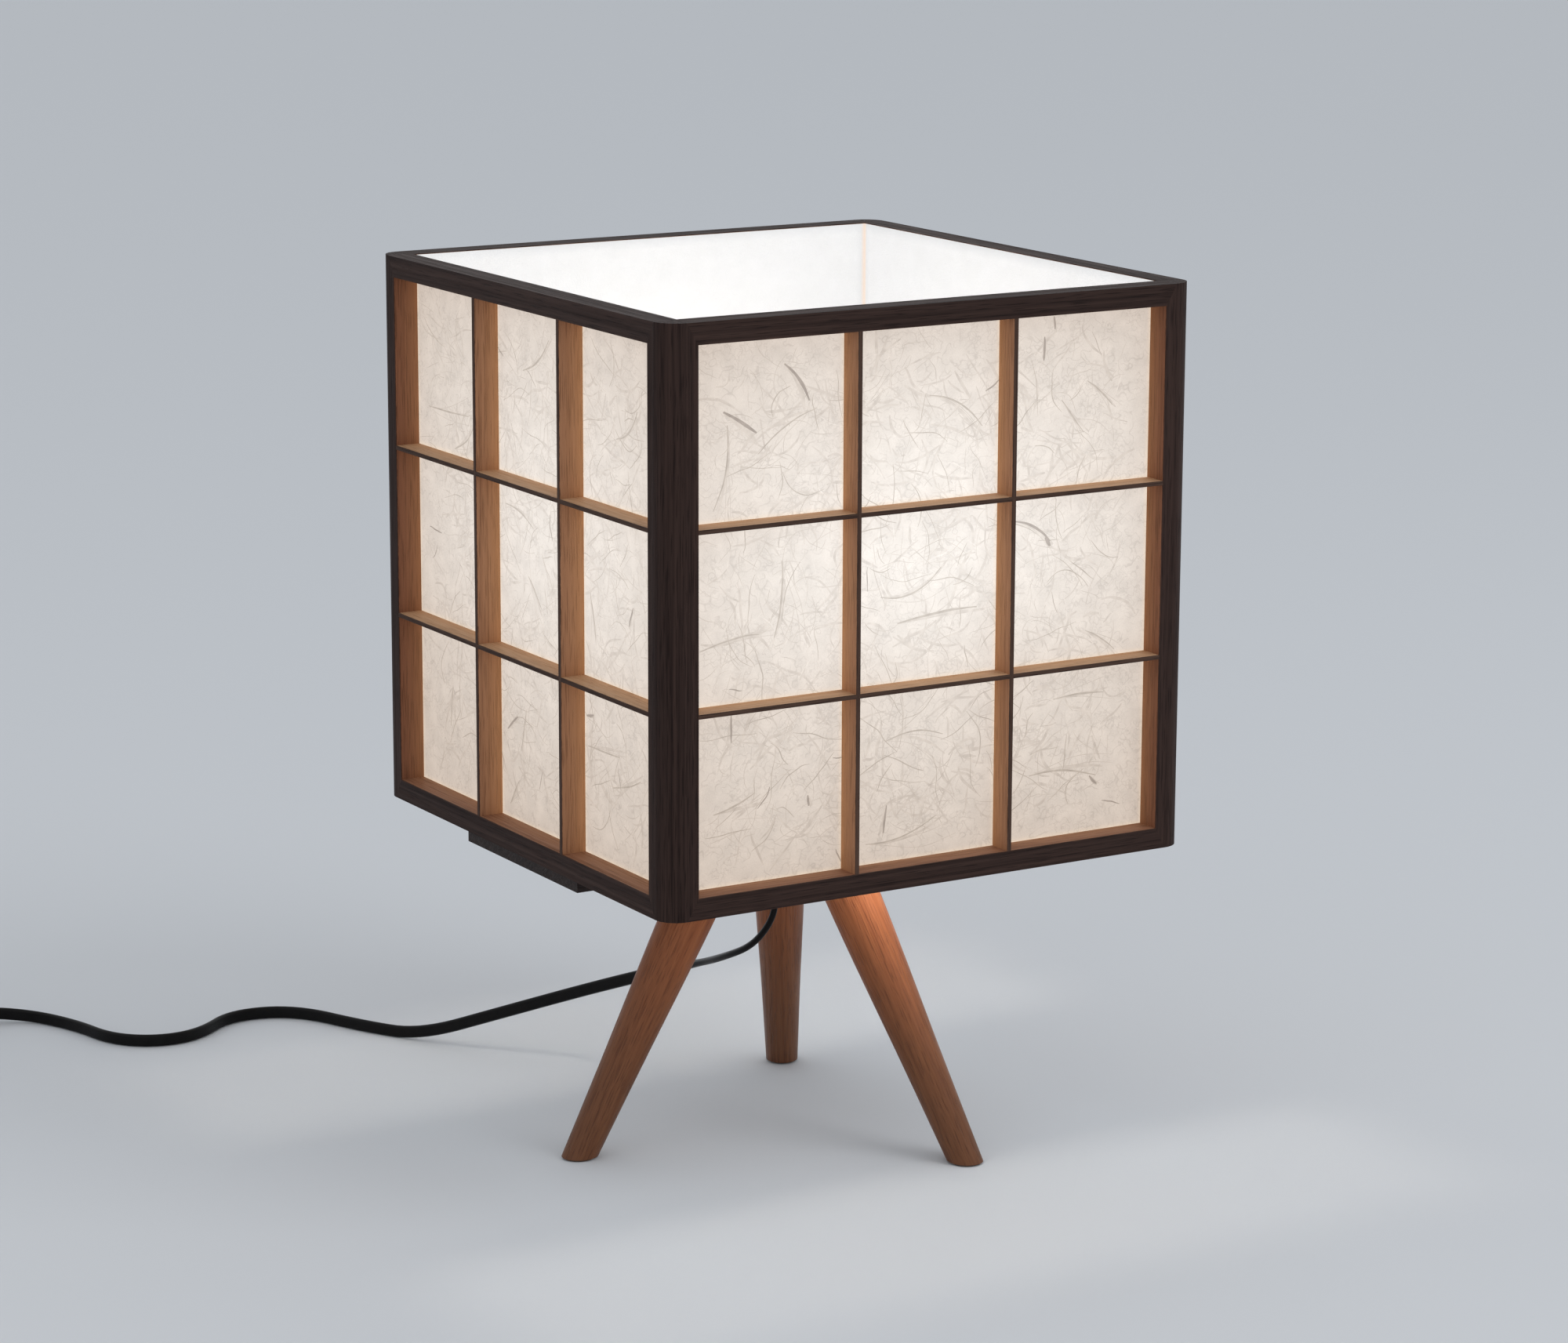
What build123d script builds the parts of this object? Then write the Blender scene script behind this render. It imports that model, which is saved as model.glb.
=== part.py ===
"""Andon lamp: a square lattice shade lined with paper, standing on a plank and three splayed legs.

Millimetres. Z is up from the floor, the origin is on the floor under the middle of the shade,
-Y is the front face and +X the right one. Each face is made at the front and turned about Z.
"""

import math
import os

from build123d import *

os.makedirs("parts", exist_ok=True)

# ---------------------------------------------------------------- driving dimensions

# shade frame
shade_width = 280.0
shade_height = 267.0
shade_underside = 155.0
frame_depth = 12.5
post_face = 16.3
post_rounding = 10.5
rail_height = 10.0
mitre_run = 5.7
rail_tenon_thickness = 5.0
rail_tenon_height = 3.5
rail_tenon_low = 1.0
rail_tenon_high = 5.5
rail_tenon_cover = 5.5
rail_tenon_setback = 3.5

# lattice strips
strip_thickness = 2.0
cells_across = 3
strip_tenon_length = 3.0
strip_tenon_depth = 5.0

# paper lining
paper_thickness = 0.4
paper_margin = 0.5

# plank under the shade
plank_width = 109.0
plank_thickness = 5.5
plank_end_inset = 1.3
plank_screw_spread = 64.0
plank_screw_length = 11.5
plank_screw_radius = 1.5
plank_screw_head_radius = 3.0

# legs
leg_count = 3
first_leg_angle = 177.4
leg_top_reach = 28.8
leg_foot_reach = 107.0
leg_foot_radius = 8.0
leg_lower_third_radius = 9.9
leg_upper_third_radius = 12.2
leg_top_radius = 13.5
pad_radius = 7.0
pad_thickness = 1.0
leg_screw_reach = 33.5
leg_screw_spread = 12.0
leg_screw_length = 25.0
leg_screw_radius = 1.75
leg_screw_head_radius = 3.5

# fit of screws and threads
thread_clearance = 0.05
recess_width = 0.9
recess_depth = 1.2

# threaded stem, its flanged nuts and the cord grip
stem_radius = 5.0
stem_bore_radius = 3.75
stem_hole_clearance = 0.2
stem_engagement = 8.0
nut_across_flats = 14.0
nut_height = 5.2
nut_flange_radius = 9.5
nut_flange_thickness = 1.2
grip_radius = 8.0
grip_nose_radius = 4.2
grip_nose_height = 20.0
grip_height = 22.0
grip_channel_radius = 3.4
flex_width = 6.2
flex_thickness = 3.8

# lampholder
holder_rise = 48.0
holder_radius = 20.0
holder_wall = 2.3
holder_neck_radius = 9.0
holder_neck_height = 3.0
holder_dome_height = 7.0
holder_base_height = 22.0
holder_shell_height = 35.0
holder_lip_height = 2.0
holder_lip_radius = 15.5
holder_floor = 0.5
insert_height = 10.0
insert_drop = 5.0
insert_ledge = 2.6
insert_clearance = 0.3
core_hole_radius = 1.25
core_hole_offset = 8.0
contact_height = 5.0
contact_radius = 4.0
contact_stalk_radius = 2.0
contact_cap_height = 1.0

# screw bulb: the thread is a stack of rings, the holder's with a clear bore round the cap's
thread_pitch = 3.63
thread_rings = 4
cap_root_radius = 12.3
cap_crest_radius = 13.1
cap_inner_radius = 11.6
cap_height = 22.0
cap_skirt_height = 4.0
screw_shell_clearance = 0.3
screw_shell_wall = 0.5
screw_shell_ring = 0.7
screw_shell_height = 25.0
screw_shell_flange = 4.0
bulb_contact_radius = 4.75
bulb_contact_height = 1.5
bulb_insulator_height = 3.5
globe_radius = 30.0
globe_rise = 80.0
globe_wall = 0.9
globe_neck_radius = 12.6
globe_neck_clearance = 0.15
globe_shoulder_angle = 35.0

# cord, its switch and its plug
cord_diameter = 6.3
cord_lift = 0.15
coil_radius = 37.0
coil_turns_across = 3
coil_turn_gap = 0.3
coil_layers = 2
coil_corner = 2.5
coil_tail_length = 27.0

switch_length = 50.0
switch_width = 20.0
switch_lower_height = 7.0
switch_upper_height = 8.0
switch_corner = 6.0
switch_edge = 1.2
switch_channel_clearance = 0.8
switch_screw_radius = 1.2
switch_screw_head_radius = 2.2
switch_screw_head_height = 1.6
switch_screw_length = 11.0
switch_screw_reach = 19.0
switch_screw_offset = 6.5

rocker_length = 14.0
rocker_width = 9.4
rocker_end_height = 3.7
rocker_waist_height = 2.6
rocker_belly = 1.6
rocker_end_drop = 0.4
rocker_throw = 9.0
rocker_pivot_height = 5.7
rocker_pin_radius = 1.2
rocker_pin_length = 1.5
rocker_pin_clearance = 0.05
window_end_gap = 0.9
window_side_gap = 0.3
window_depth = 4.5

plug_width = 24.0
plug_thickness = 19.0
plug_length = 24.0
plug_corner = 6.0
plug_edge = 1.5
relief_length = 18.0
relief_root_radius = 6.5
relief_tip_radius = 4.2
relief_grooves = 3
relief_groove_width = 1.6
relief_groove_depth = 0.9
blade_spacing = 12.7
blade_width = 6.3
blade_thickness = 1.5
blade_length = 17.0
blade_root = 6.0
blade_hole_radius = 1.5
blade_hole_setback = 4.5

# ---------------------------------------------------------------- derived places

half_width = shade_width / 2
shade_top = shade_underside + shade_height
paper_face = half_width - frame_depth
half_opening = half_width - post_face
opening_bottom = shade_underside + rail_height
opening_top = shade_top - rail_height
plank_underside = shade_underside - plank_thickness
plank_length = shade_width - 2 * plank_end_inset
grip_underside = plank_underside - nut_height - grip_height
holder_underside = shade_underside + holder_rise
insert_underside = holder_underside + holder_base_height - insert_drop
insert_top = insert_underside + insert_height
bulb_tip = insert_top + contact_height
cap_underside = bulb_tip + bulb_contact_height + bulb_insulator_height
globe_height = bulb_tip + globe_rise
cord_floor = cord_diameter / 2 + cord_lift

# the switch lies on the floor with its length along X, and the cord runs straight through it
switch_middle = (-305.0, 356.0)
switch_axis_height = switch_lower_height

# the coil lies on the floor, and the cord runs into its outer turn along -X
turn_pitch = cord_diameter + coil_turn_gap
coil_outer_turn = coil_radius + turn_pitch * (coil_turns_across - 1) / 2
coil_middle = (-366.0, switch_middle[1] - coil_outer_turn)
coil_height = coil_layers * turn_pitch
coil_half_width = coil_turns_across * turn_pitch / 2
plug_axis_height = plug_thickness / 2

# the cord's corners from the grip to the coil, chosen by hand: in the air, along the floor,
# through the switch
cord_points = [
    (0, 0, grip_underside),
    (0, 0, 111),
    (-2, 4, 100),
    (-6, 14, 88),
    (-9, 35, 78),
    (-5, 62, 68),
    (-9, 95, 56),
    (-28, 134, 40),
    (-61, 174, 21),
    (-88, 212, cord_floor),
    (-106, 240, cord_floor),
    (-125, 285, cord_floor),
    (-159, 294, cord_floor),
    (-186, 271, cord_floor),
    (-210, 270, cord_floor),
    (-229, 286, cord_floor),
    (-235, 317, cord_floor),
    (-249, 347, cord_floor),
    (-277, 356, switch_axis_height),
    (-333, 356, switch_axis_height),
    (-360, 356, cord_floor),
]

# ---------------------------------------------------------------- small helpers


def block(x, y, z):
    """A box between the two ends given along each axis."""
    size = (x[1] - x[0], y[1] - y[0], z[1] - z[0])
    middle = (sum(x) / 2, sum(y) / 2, sum(z) / 2)
    return Pos(*middle) * Box(*size)


def upright_cylinder(radius, bottom, top, at=(0.0, 0.0)):
    return Pos(at[0], at[1], bottom) * Cylinder(
        radius, top - bottom, align=(Align.CENTER, Align.CENTER, Align.MIN)
    )


def turned(*outline):
    """A solid of revolution about Z from (radius, height) corners."""
    return revolve(make_face(Plane.XZ * Polyline(*outline, close=True)), Axis.Z)


def countersunk(length, shank, head, grow=0.0):
    """A countersunk screw that points down from z = 0, or with grow the hole that it fills."""
    cone = head - shank
    return turned(
        (0, 0),
        (head + grow, 0),
        (shank + grow, -cone),
        (shank + grow, grow - length + shank),
        (0, grow - length) if grow == 0 else (0, -length - grow),
    )


def cross_recess(head):
    arm = block((-head / 2, head / 2), (-recess_width / 2, recess_width / 2), (-recess_depth, 0))
    return arm + Rot(0, 0, 90) * arm


def turn(shape, angle):
    return Rot(0, 0, angle) * shape


def save(name, *solids):
    shape = solids[0] if len(solids) == 1 else Compound(list(solids))
    export_step(shape, f"parts/{name}.step")


side_names = ["front", "right", "back", "left"]
corner_names = ["front_left", "front_right", "back_right", "back_left"]
side_turn = 360 / len(side_names)
SIDES = {name: side_turn * number for number, name in enumerate(side_names)}
CORNERS = {name: side_turn * number for number, name in enumerate(corner_names)}

# ---------------------------------------------------------------- shade frame


def rail(at_top, tenon_from):
    """A front rail: long outside, short at the opening, with a stub tenon in each post."""
    outside = shade_top if at_top else shade_underside
    inside = opening_top if at_top else opening_bottom
    inward = -1 if at_top else 1
    front = Plane(origin=(0, -paper_face, 0), x_dir=(1, 0, 0), z_dir=(0, -1, 0))
    long_half = half_opening + mitre_run
    outline = Polyline(
        (-long_half, outside),
        (long_half, outside),
        (half_opening, inside),
        (-half_opening, inside),
        close=True,
    )
    bar = extrude(make_face(front * outline), amount=frame_depth, dir=(0, -1, 0))
    quarter = Polyline(
        (0, 0), (-shade_width, -shade_width), (shade_width, -shade_width), close=True
    )
    bar &= extrude(make_face(Plane.XY * quarter), amount=shade_top)
    tenon_heights = sorted(
        inside - inward * step for step in (tenon_from, tenon_from + rail_tenon_height)
    )
    tenon_reach = half_width - rail_tenon_cover
    tenon_face = -half_width + rail_tenon_setback
    tenons = block(
        (-tenon_reach, tenon_reach), (tenon_face, tenon_face + rail_tenon_thickness), tenon_heights
    )
    return bar + tenons


def strip_places(middle, half_length):
    """Where the strips stand that share a width into equal cells."""
    cell = 2 * half_length / cells_across
    return [middle - half_length + cell * i for i in range(1, cells_across)]


upright_places = strip_places(0, half_opening)
level_places = strip_places(
    (opening_bottom + opening_top) / 2, (opening_top - opening_bottom) / 2
)
half_strip = strip_thickness / 2
lap_face = -half_width + frame_depth / 2
strip_tenon_faces = (
    lap_face - strip_tenon_depth / 2,
    lap_face + strip_tenon_depth / 2,
)


def upright(x):
    """A lattice upright of the front face, lapped behind the levels' front halves."""
    sides = (x - half_strip, x + half_strip)
    strip = block(sides, (-half_width, -paper_face), (opening_bottom, opening_top))
    strip += block(
        sides,
        strip_tenon_faces,
        (opening_bottom - strip_tenon_length, opening_top + strip_tenon_length),
    )
    for z in level_places:
        strip -= block(sides, (lap_face, -paper_face), (z - half_strip, z + half_strip))
    return strip


def level(z):
    """A lattice level of the front face, cut away in front where the uprights cross."""
    sides = (z - half_strip, z + half_strip)
    strip = block((-half_opening, half_opening), (-half_width, -paper_face), sides)
    reach = half_opening + strip_tenon_length
    strip += block((-reach, reach), strip_tenon_faces, sides)
    for x in upright_places:
        strip -= block((x - half_strip, x + half_strip), (-half_width, lap_face), sides)
    return strip


front_uprights = [upright(x) for x in upright_places]
front_levels = [level(z) for z in level_places]

# the front and back rails' tenons pass above the side rails' ones inside each post
tenon_starts = {
    "front": rail_tenon_high,
    "right": rail_tenon_low,
    "back": rail_tenon_high,
    "left": rail_tenon_low,
}

plank_screw_places = [
    (side * (half_width - frame_depth / 2), end * plank_screw_spread / 2)
    for side in (-1, 1)
    for end in (-1, 1)
]


def plank_screw(place, grow=0.0):
    x, y = place
    screw = countersunk(plank_screw_length, plank_screw_radius, plank_screw_head_radius, grow)
    if grow == 0:
        screw -= cross_recess(plank_screw_head_radius)
    return Pos(x, y, plank_underside) * Rot(180, 0, 0) * screw


rails = {}
for side, angle in SIDES.items():
    for level_name, at_top in (("top", True), ("bottom", False)):
        piece = rail(at_top, tenon_starts[side])
        for strip in front_uprights:
            piece -= strip
        piece = turn(piece, angle)
        if not at_top:
            for place in plank_screw_places:
                piece -= plank_screw(place, thread_clearance)
        rails[side, level_name] = piece
        save(f"{level_name}_rail_{side}", piece)

for side, angle in SIDES.items():
    for number, strip in enumerate(front_uprights, 1):
        save(f"lattice_upright_{side}_{number}", turn(strip, angle))
    for place_name, strip in zip(("lower", "upper"), front_levels):
        save(f"lattice_level_{side}_{place_name}", turn(strip, angle))


def post():
    """The front left post: rounded outside, rebated inside for the paper."""
    column = block(
        (-half_width, -half_opening), (-half_width, -half_opening), (shade_underside, shade_top)
    )
    outer_edge = column.edges().filter_by(Axis.Z).sort_by(Axis.X)[:2].sort_by(Axis.Y)[0]
    column = fillet(outer_edge, post_rounding)
    return column - block(
        (-paper_face, -half_opening), (-paper_face, -half_opening), (shade_underside, shade_top)
    )


for number, (corner, angle) in enumerate(CORNERS.items()):
    piece = turn(post(), angle)
    meeting = (side_names[number], side_names[number - 1])
    for side in meeting:
        for level_name in ("top", "bottom"):
            piece -= rails[side, level_name]
        for strip in front_levels:
            piece -= turn(strip, SIDES[side])
    save(f"corner_post_{corner}", piece)


def paper():
    """One sheet of the lining, glued behind the front lattice."""
    reach = paper_face - paper_margin
    return block(
        (-reach, reach),
        (-paper_face, -paper_face + paper_thickness),
        (shade_underside + paper_margin, shade_top - paper_margin),
    )


for side, angle in SIDES.items():
    save(f"paper_{side}", turn(paper(), angle))

# ---------------------------------------------------------------- plank and legs

leg_angles = [first_leg_angle + 360 / leg_count * i for i in range(leg_count)]
leg_names = ["left", "front", "back"]

leg_screw_places = [
    (angle, side * leg_screw_spread / 2) for angle in leg_angles for side in (-1, 1)
]


def leg_screw(place, grow=0.0):
    angle, offset = place
    screw = countersunk(leg_screw_length, leg_screw_radius, leg_screw_head_radius, grow)
    if grow == 0:
        screw -= cross_recess(leg_screw_head_radius)
    return turn(Pos(leg_screw_reach, offset, shade_underside) * screw, angle)


def plank():
    board = block(
        (-plank_length / 2, plank_length / 2),
        (-plank_width / 2, plank_width / 2),
        (plank_underside, shade_underside),
    )
    board -= upright_cylinder(
        stem_radius + stem_hole_clearance, plank_underside, shade_underside
    )
    for place in plank_screw_places:
        board -= plank_screw(place, thread_clearance)
    for place in leg_screw_places:
        board -= leg_screw(place, thread_clearance)
    return board


save("plank", plank())
save("plank_screws", *[plank_screw(place) for place in plank_screw_places])
save("leg_screws", *[leg_screw(place) for place in leg_screw_places])


def leg(angle):
    """A turned leg with a slight belly, cut level under the plank and at the foot."""
    foot = Vector(leg_foot_reach, 0, 0)
    head = Vector(leg_top_reach, 0, plank_underside)
    length = (head - foot).length
    spare = 2 * leg_top_radius
    belly = Spline(
        (leg_foot_radius - 1, -spare),
        (leg_foot_radius, 0),
        (leg_lower_third_radius, length / 3),
        (leg_upper_third_radius, length * 2 / 3),
        (leg_top_radius, length),
        (leg_top_radius + 0.2, length + spare),
    )
    outline = belly + Polyline(
        (leg_top_radius + 0.2, length + spare),
        (0, length + spare),
        (0, -spare),
        (leg_foot_radius - 1, -spare),
    )
    spindle = revolve(make_face(Plane.XZ * outline), Axis.Z)
    spindle = Plane(origin=foot, x_dir=(0, 1, 0), z_dir=head - foot) * spindle
    reach = leg_foot_reach + spare
    spindle &= block((-reach, reach), (-reach, reach), (pad_thickness, plank_underside))
    spindle = turn(spindle, angle)
    for place in leg_screw_places:
        if place[0] == angle:
            spindle -= leg_screw(place, thread_clearance)
    return spindle


for name, angle in zip(leg_names, leg_angles):
    save(f"leg_{name}", leg(angle))

save(
    "foot_pads",
    *[
        turn(upright_cylinder(pad_radius, 0, pad_thickness, (leg_foot_reach, 0)), angle)
        for angle in leg_angles
    ],
)

# ---------------------------------------------------------------- stem, nuts, grip


def nut(seat, upward):
    """A flanged nut whose flange lies on the seat, with its hexagon above or below it."""
    body = upright_cylinder(nut_flange_radius, 0, nut_flange_thickness)
    hexagon = RegularPolygon(nut_across_flats / 2, 6, major_radius=False)
    body += extrude(Plane.XY * hexagon, amount=nut_height)
    body -= upright_cylinder(stem_radius + thread_clearance, 0, nut_height)
    return Pos(0, 0, seat) * (body if upward else Rot(180, 0, 0) * body)


save(
    "stem_nuts",
    nut(plank_underside, upward=False),
    nut(shade_underside, upward=True),
    nut(holder_underside, upward=False),
)

grip_top = plank_underside - nut_height
stem_bottom = grip_top - stem_engagement
stem_top = holder_underside + stem_engagement
save(
    "stem_tube",
    upright_cylinder(stem_radius, stem_bottom, stem_top)
    - upright_cylinder(stem_bore_radius, stem_bottom, stem_top),
)

grip = turned(
    (grip_channel_radius, grip_underside),
    (grip_nose_radius, grip_underside),
    (grip_radius, grip_underside + grip_nose_height),
    (grip_radius, grip_top),
    (stem_radius + thread_clearance, grip_top),
    (stem_radius + thread_clearance, stem_bottom),
    (grip_channel_radius, stem_bottom),
)
save("cord_grip", grip)

flex_section = SlotOverall(flex_width, flex_thickness)
save(
    "flex_in_stem",
    Pos(0, 0, grip_underside)
    * extrude(flex_section, amount=insert_underside - grip_underside),
)

# ---------------------------------------------------------------- lampholder

holder_bore = holder_radius - holder_wall
base_top = holder_underside + holder_base_height
dome_bottom = holder_underside + holder_neck_height
save(
    "holder_base",
    turned(
        (stem_radius + thread_clearance, holder_underside),
        (holder_neck_radius, holder_underside),
        (holder_neck_radius, dome_bottom),
        (holder_radius, dome_bottom + holder_dome_height),
        (holder_radius, base_top),
        (holder_bore, base_top),
        (holder_bore, insert_underside),
        (holder_bore - insert_ledge, insert_underside),
        (holder_bore - insert_ledge, stem_top + holder_floor),
        (stem_radius + thread_clearance, stem_top + holder_floor),
    ),
)

shell_top = base_top + holder_shell_height
save(
    "holder_shell",
    turned(
        (holder_bore, base_top),
        (holder_radius, base_top),
        (holder_radius, shell_top),
        (holder_lip_radius, shell_top),
        (holder_lip_radius, shell_top - holder_lip_height),
        (holder_bore, shell_top - holder_lip_height),
    ),
)

insert = upright_cylinder(holder_bore - insert_clearance, insert_underside, insert_top)
for side in (-1, 1):
    insert -= upright_cylinder(
        core_hole_radius, insert_underside, insert_top, (side * core_hole_offset, 0)
    )
save("holder_insert", insert)

save(
    "holder_contact",
    turned(
        (0, insert_top),
        (contact_stalk_radius, insert_top),
        (contact_stalk_radius, bulb_tip - contact_cap_height),
        (contact_radius, bulb_tip - contact_cap_height),
        (contact_radius, bulb_tip),
        (0, bulb_tip),
    ),
)


def rings(root, crest, bottom):
    """The corners of a stack of thread rings, from the lowest up."""
    corners = []
    for i in range(thread_rings):
        start = bottom + i * thread_pitch
        corners += [(root, start), (crest, start + thread_pitch / 2)]
    return corners + [(root, bottom + thread_rings * thread_pitch)]


shell_bore = cap_crest_radius + screw_shell_clearance
inside = rings(shell_bore, shell_bore + screw_shell_ring, cap_underside)
outside = [(radius + screw_shell_wall, height) for radius, height in inside]
screw_shell_top = insert_top + screw_shell_height
save(
    "holder_screw_shell",
    turned(
        (shell_bore - screw_shell_flange, insert_top),
        (shell_bore + screw_shell_wall, insert_top),
        *outside,
        (shell_bore + screw_shell_wall, screw_shell_top),
        (shell_bore, screw_shell_top),
        *reversed(inside),
        (shell_bore, insert_top + screw_shell_wall),
        (shell_bore - screw_shell_flange, insert_top + screw_shell_wall),
    ),
)

# ---------------------------------------------------------------- bulb

save("bulb_contact", upright_cylinder(bulb_contact_radius, bulb_tip, bulb_tip + bulb_contact_height))
save(
    "bulb_insulator",
    turned(
        (0, bulb_tip + bulb_contact_height),
        (bulb_contact_radius, bulb_tip + bulb_contact_height),
        (cap_root_radius, cap_underside),
        (0, cap_underside),
    ),
)

cap_top = cap_underside + cap_height
skirt_bottom = cap_top - cap_skirt_height
skirt_bore = globe_neck_radius + globe_neck_clearance
save(
    "bulb_cap",
    turned(
        (cap_inner_radius, cap_underside),
        *rings(cap_root_radius, cap_crest_radius, cap_underside),
        (cap_crest_radius, skirt_bottom),
        (cap_crest_radius, cap_top),
        (skirt_bore, cap_top),
        (skirt_bore, skirt_bottom),
        (cap_inner_radius, skirt_bottom),
    ),
)


def globe_side(inset):
    """The globe's outline from its crown to the neck's rim, moved inwards by inset."""
    ball = globe_radius - inset
    shoulder = math.radians(-globe_shoulder_angle)
    shoulder_point = (ball * math.cos(shoulder), globe_height + ball * math.sin(shoulder))
    neck = globe_neck_radius - inset
    crown = CenterArc((0, globe_height), ball, -globe_shoulder_angle, 90 + globe_shoulder_angle)
    waist = Spline(
        shoulder_point,
        (neck, cap_top + cap_skirt_height),
        tangents=[(math.sin(shoulder), -math.cos(shoulder)), (0, -1)],
    )
    return crown + waist + Line((neck, cap_top + cap_skirt_height), (neck, skirt_bottom))


outer, inner = globe_side(0), globe_side(globe_wall)
globe_outline = outer + inner
globe_outline += Line((0, globe_height + globe_radius), (0, globe_height + globe_radius - globe_wall))
globe_outline += Line(
    (globe_neck_radius, skirt_bottom), (globe_neck_radius - globe_wall, skirt_bottom)
)
save("bulb_globe", revolve(make_face(Plane.XZ * globe_outline), Axis.Z))

# ---------------------------------------------------------------- cord and coil


def cord_tube():
    """The cord from the grip to the coil: straight runs joined by arcs as large as they allow."""
    points = [Vector(*point) for point in cord_points]
    runs = [after - before for before, after in zip(points, points[1:])]
    radii = []
    for before, after in zip(runs, runs[1:]):
        half_turn = math.radians(before.get_angle(after)) / 2
        radii.append(0.45 * min(before.length, after.length) / math.tan(half_turn))
    print("cord radii", [round(radius, 1) for radius in radii])
    line = FilletPolyline(*points, radius=radii)
    section = Plane(origin=points[0], z_dir=line % 0) * Circle(cord_diameter / 2)
    tube = sweep(section, path=line)
    expected = math.pi * cord_diameter**2 / 4 * line.length
    print("cord tube", round(line.length, 1), "long, volume over section times length",
          round(tube.volume / expected, 4))
    return tube


save("cord_lead", cord_tube())


def coil():
    """The outer shape of the coiled rest of the cord, with its tail to the plug."""
    section = Pos(coil_radius, cord_lift + coil_height / 2) * RectangleRounded(
        2 * coil_half_width, coil_height, coil_corner
    )
    ring = revolve(Plane.XZ * section, Axis.Z)
    tail_start = (-coil_outer_turn, 0, plug_axis_height)
    tail = Plane(origin=tail_start, z_dir=(0, -1, 0)) * Cylinder(
        cord_diameter / 2, coil_tail_length, align=(Align.CENTER, Align.CENTER, Align.MIN)
    )
    return Pos(*coil_middle, 0) * (ring + tail)


save("cord_coil", coil())

# ---------------------------------------------------------------- switch on the cord


def switch_half(height):
    """A switch casing half, standing on z = 0, with rounded ends and an eased outer edge."""
    outline = RectangleRounded(switch_length, switch_width, switch_corner)
    return extrude(outline, amount=height)


def on_switch(shape):
    return Pos(*switch_middle, 0) * shape


channel = Rot(0, 90, 0) * Cylinder(cord_diameter / 2 + switch_channel_clearance, switch_length)
channel = Pos(0, 0, switch_axis_height) * channel
switch_screw_places = [
    (switch_screw_reach, switch_screw_offset),
    (-switch_screw_reach, -switch_screw_offset),
]


def switch_screw(place, grow=0.0):
    head = upright_cylinder(switch_screw_head_radius + grow, 0, switch_screw_head_height, place)
    shank = upright_cylinder(switch_screw_radius + grow, 0, switch_screw_length + grow, place)
    screw = head + shank
    if grow == 0:
        recess = Rot(180, 0, 0) * cross_recess(switch_screw_head_radius)
        screw -= Pos(*place, 0) * recess
    return Pos(0, 0, switch_edge) * screw


lower = chamfer(switch_half(switch_lower_height).edges().group_by(Axis.Z)[0], switch_edge)
lower -= channel
for place in switch_screw_places:
    lower -= switch_screw(place, thread_clearance)
    lower -= upright_cylinder(switch_screw_head_radius + thread_clearance, 0, switch_edge, place)
save("switch_lower", on_switch(lower))

switch_top = switch_lower_height + switch_upper_height
upper = chamfer(switch_half(switch_upper_height).edges().group_by(Axis.Z)[-1], switch_edge)
upper = Pos(0, 0, switch_lower_height) * upper
upper -= channel
window_half = (rocker_length / 2 + window_end_gap, rocker_width / 2 + window_side_gap)
upper -= block(
    (-window_half[0], window_half[0]),
    (-window_half[1], window_half[1]),
    (switch_top - window_depth, switch_top),
)
pivot_height = switch_lower_height + rocker_pivot_height
pin_half = rocker_width / 2 + rocker_pin_length
pin_hole_half = pin_half + window_side_gap
across = Pos(0, 0, pivot_height) * Rot(90, 0, 0)
upper -= across * Cylinder(rocker_pin_radius + rocker_pin_clearance, 2 * pin_hole_half)
for place in switch_screw_places:
    upper -= switch_screw(place, thread_clearance)
save("switch_upper", on_switch(upper))
save("switch_screws", *[on_switch(switch_screw(place)) for place in switch_screw_places])


def rocker():
    """The rocker, tipped to its rest: two sloping pads that meet in a waist over the pivot."""
    half = rocker_length / 2
    outline = Polyline(
        (-half, rocker_end_height),
        (0, rocker_waist_height),
        (half, rocker_end_height),
        (half, -rocker_end_drop),
        (0, -rocker_belly),
        (-half, -rocker_end_drop),
        close=True,
    )
    body = extrude(make_face(Plane.XZ * outline), amount=rocker_width / 2, both=True)
    body += Rot(90, 0, 0) * Cylinder(rocker_pin_radius, 2 * pin_half)
    return Pos(0, 0, pivot_height) * Rot(0, rocker_throw, 0) * body


save("switch_rocker", on_switch(rocker()))

# ---------------------------------------------------------------- plug

plug_start = (coil_middle[0] - coil_outer_turn, coil_middle[1] - coil_tail_length)


def on_plug(shape):
    """Lays a shape that is built along +Z from its cord end out along -Y."""
    return Plane(origin=(*plug_start, plug_axis_height), x_dir=(1, 0, 0), z_dir=(0, -1, 0)) * shape


relief = turned(
    (0, 0), (relief_tip_radius, 0), (relief_root_radius, relief_length), (0, relief_length)
)
groove_pitch = relief_length / (relief_grooves + 1)
for i in range(1, relief_grooves + 1):
    middle = groove_pitch * i
    radius = relief_tip_radius + (relief_root_radius - relief_tip_radius) * i / (relief_grooves + 1)
    collar = upright_cylinder(relief_root_radius, middle - relief_groove_width / 2,
                              middle + relief_groove_width / 2)
    relief -= collar - upright_cylinder(radius - relief_groove_depth, 0, relief_length)

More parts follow.
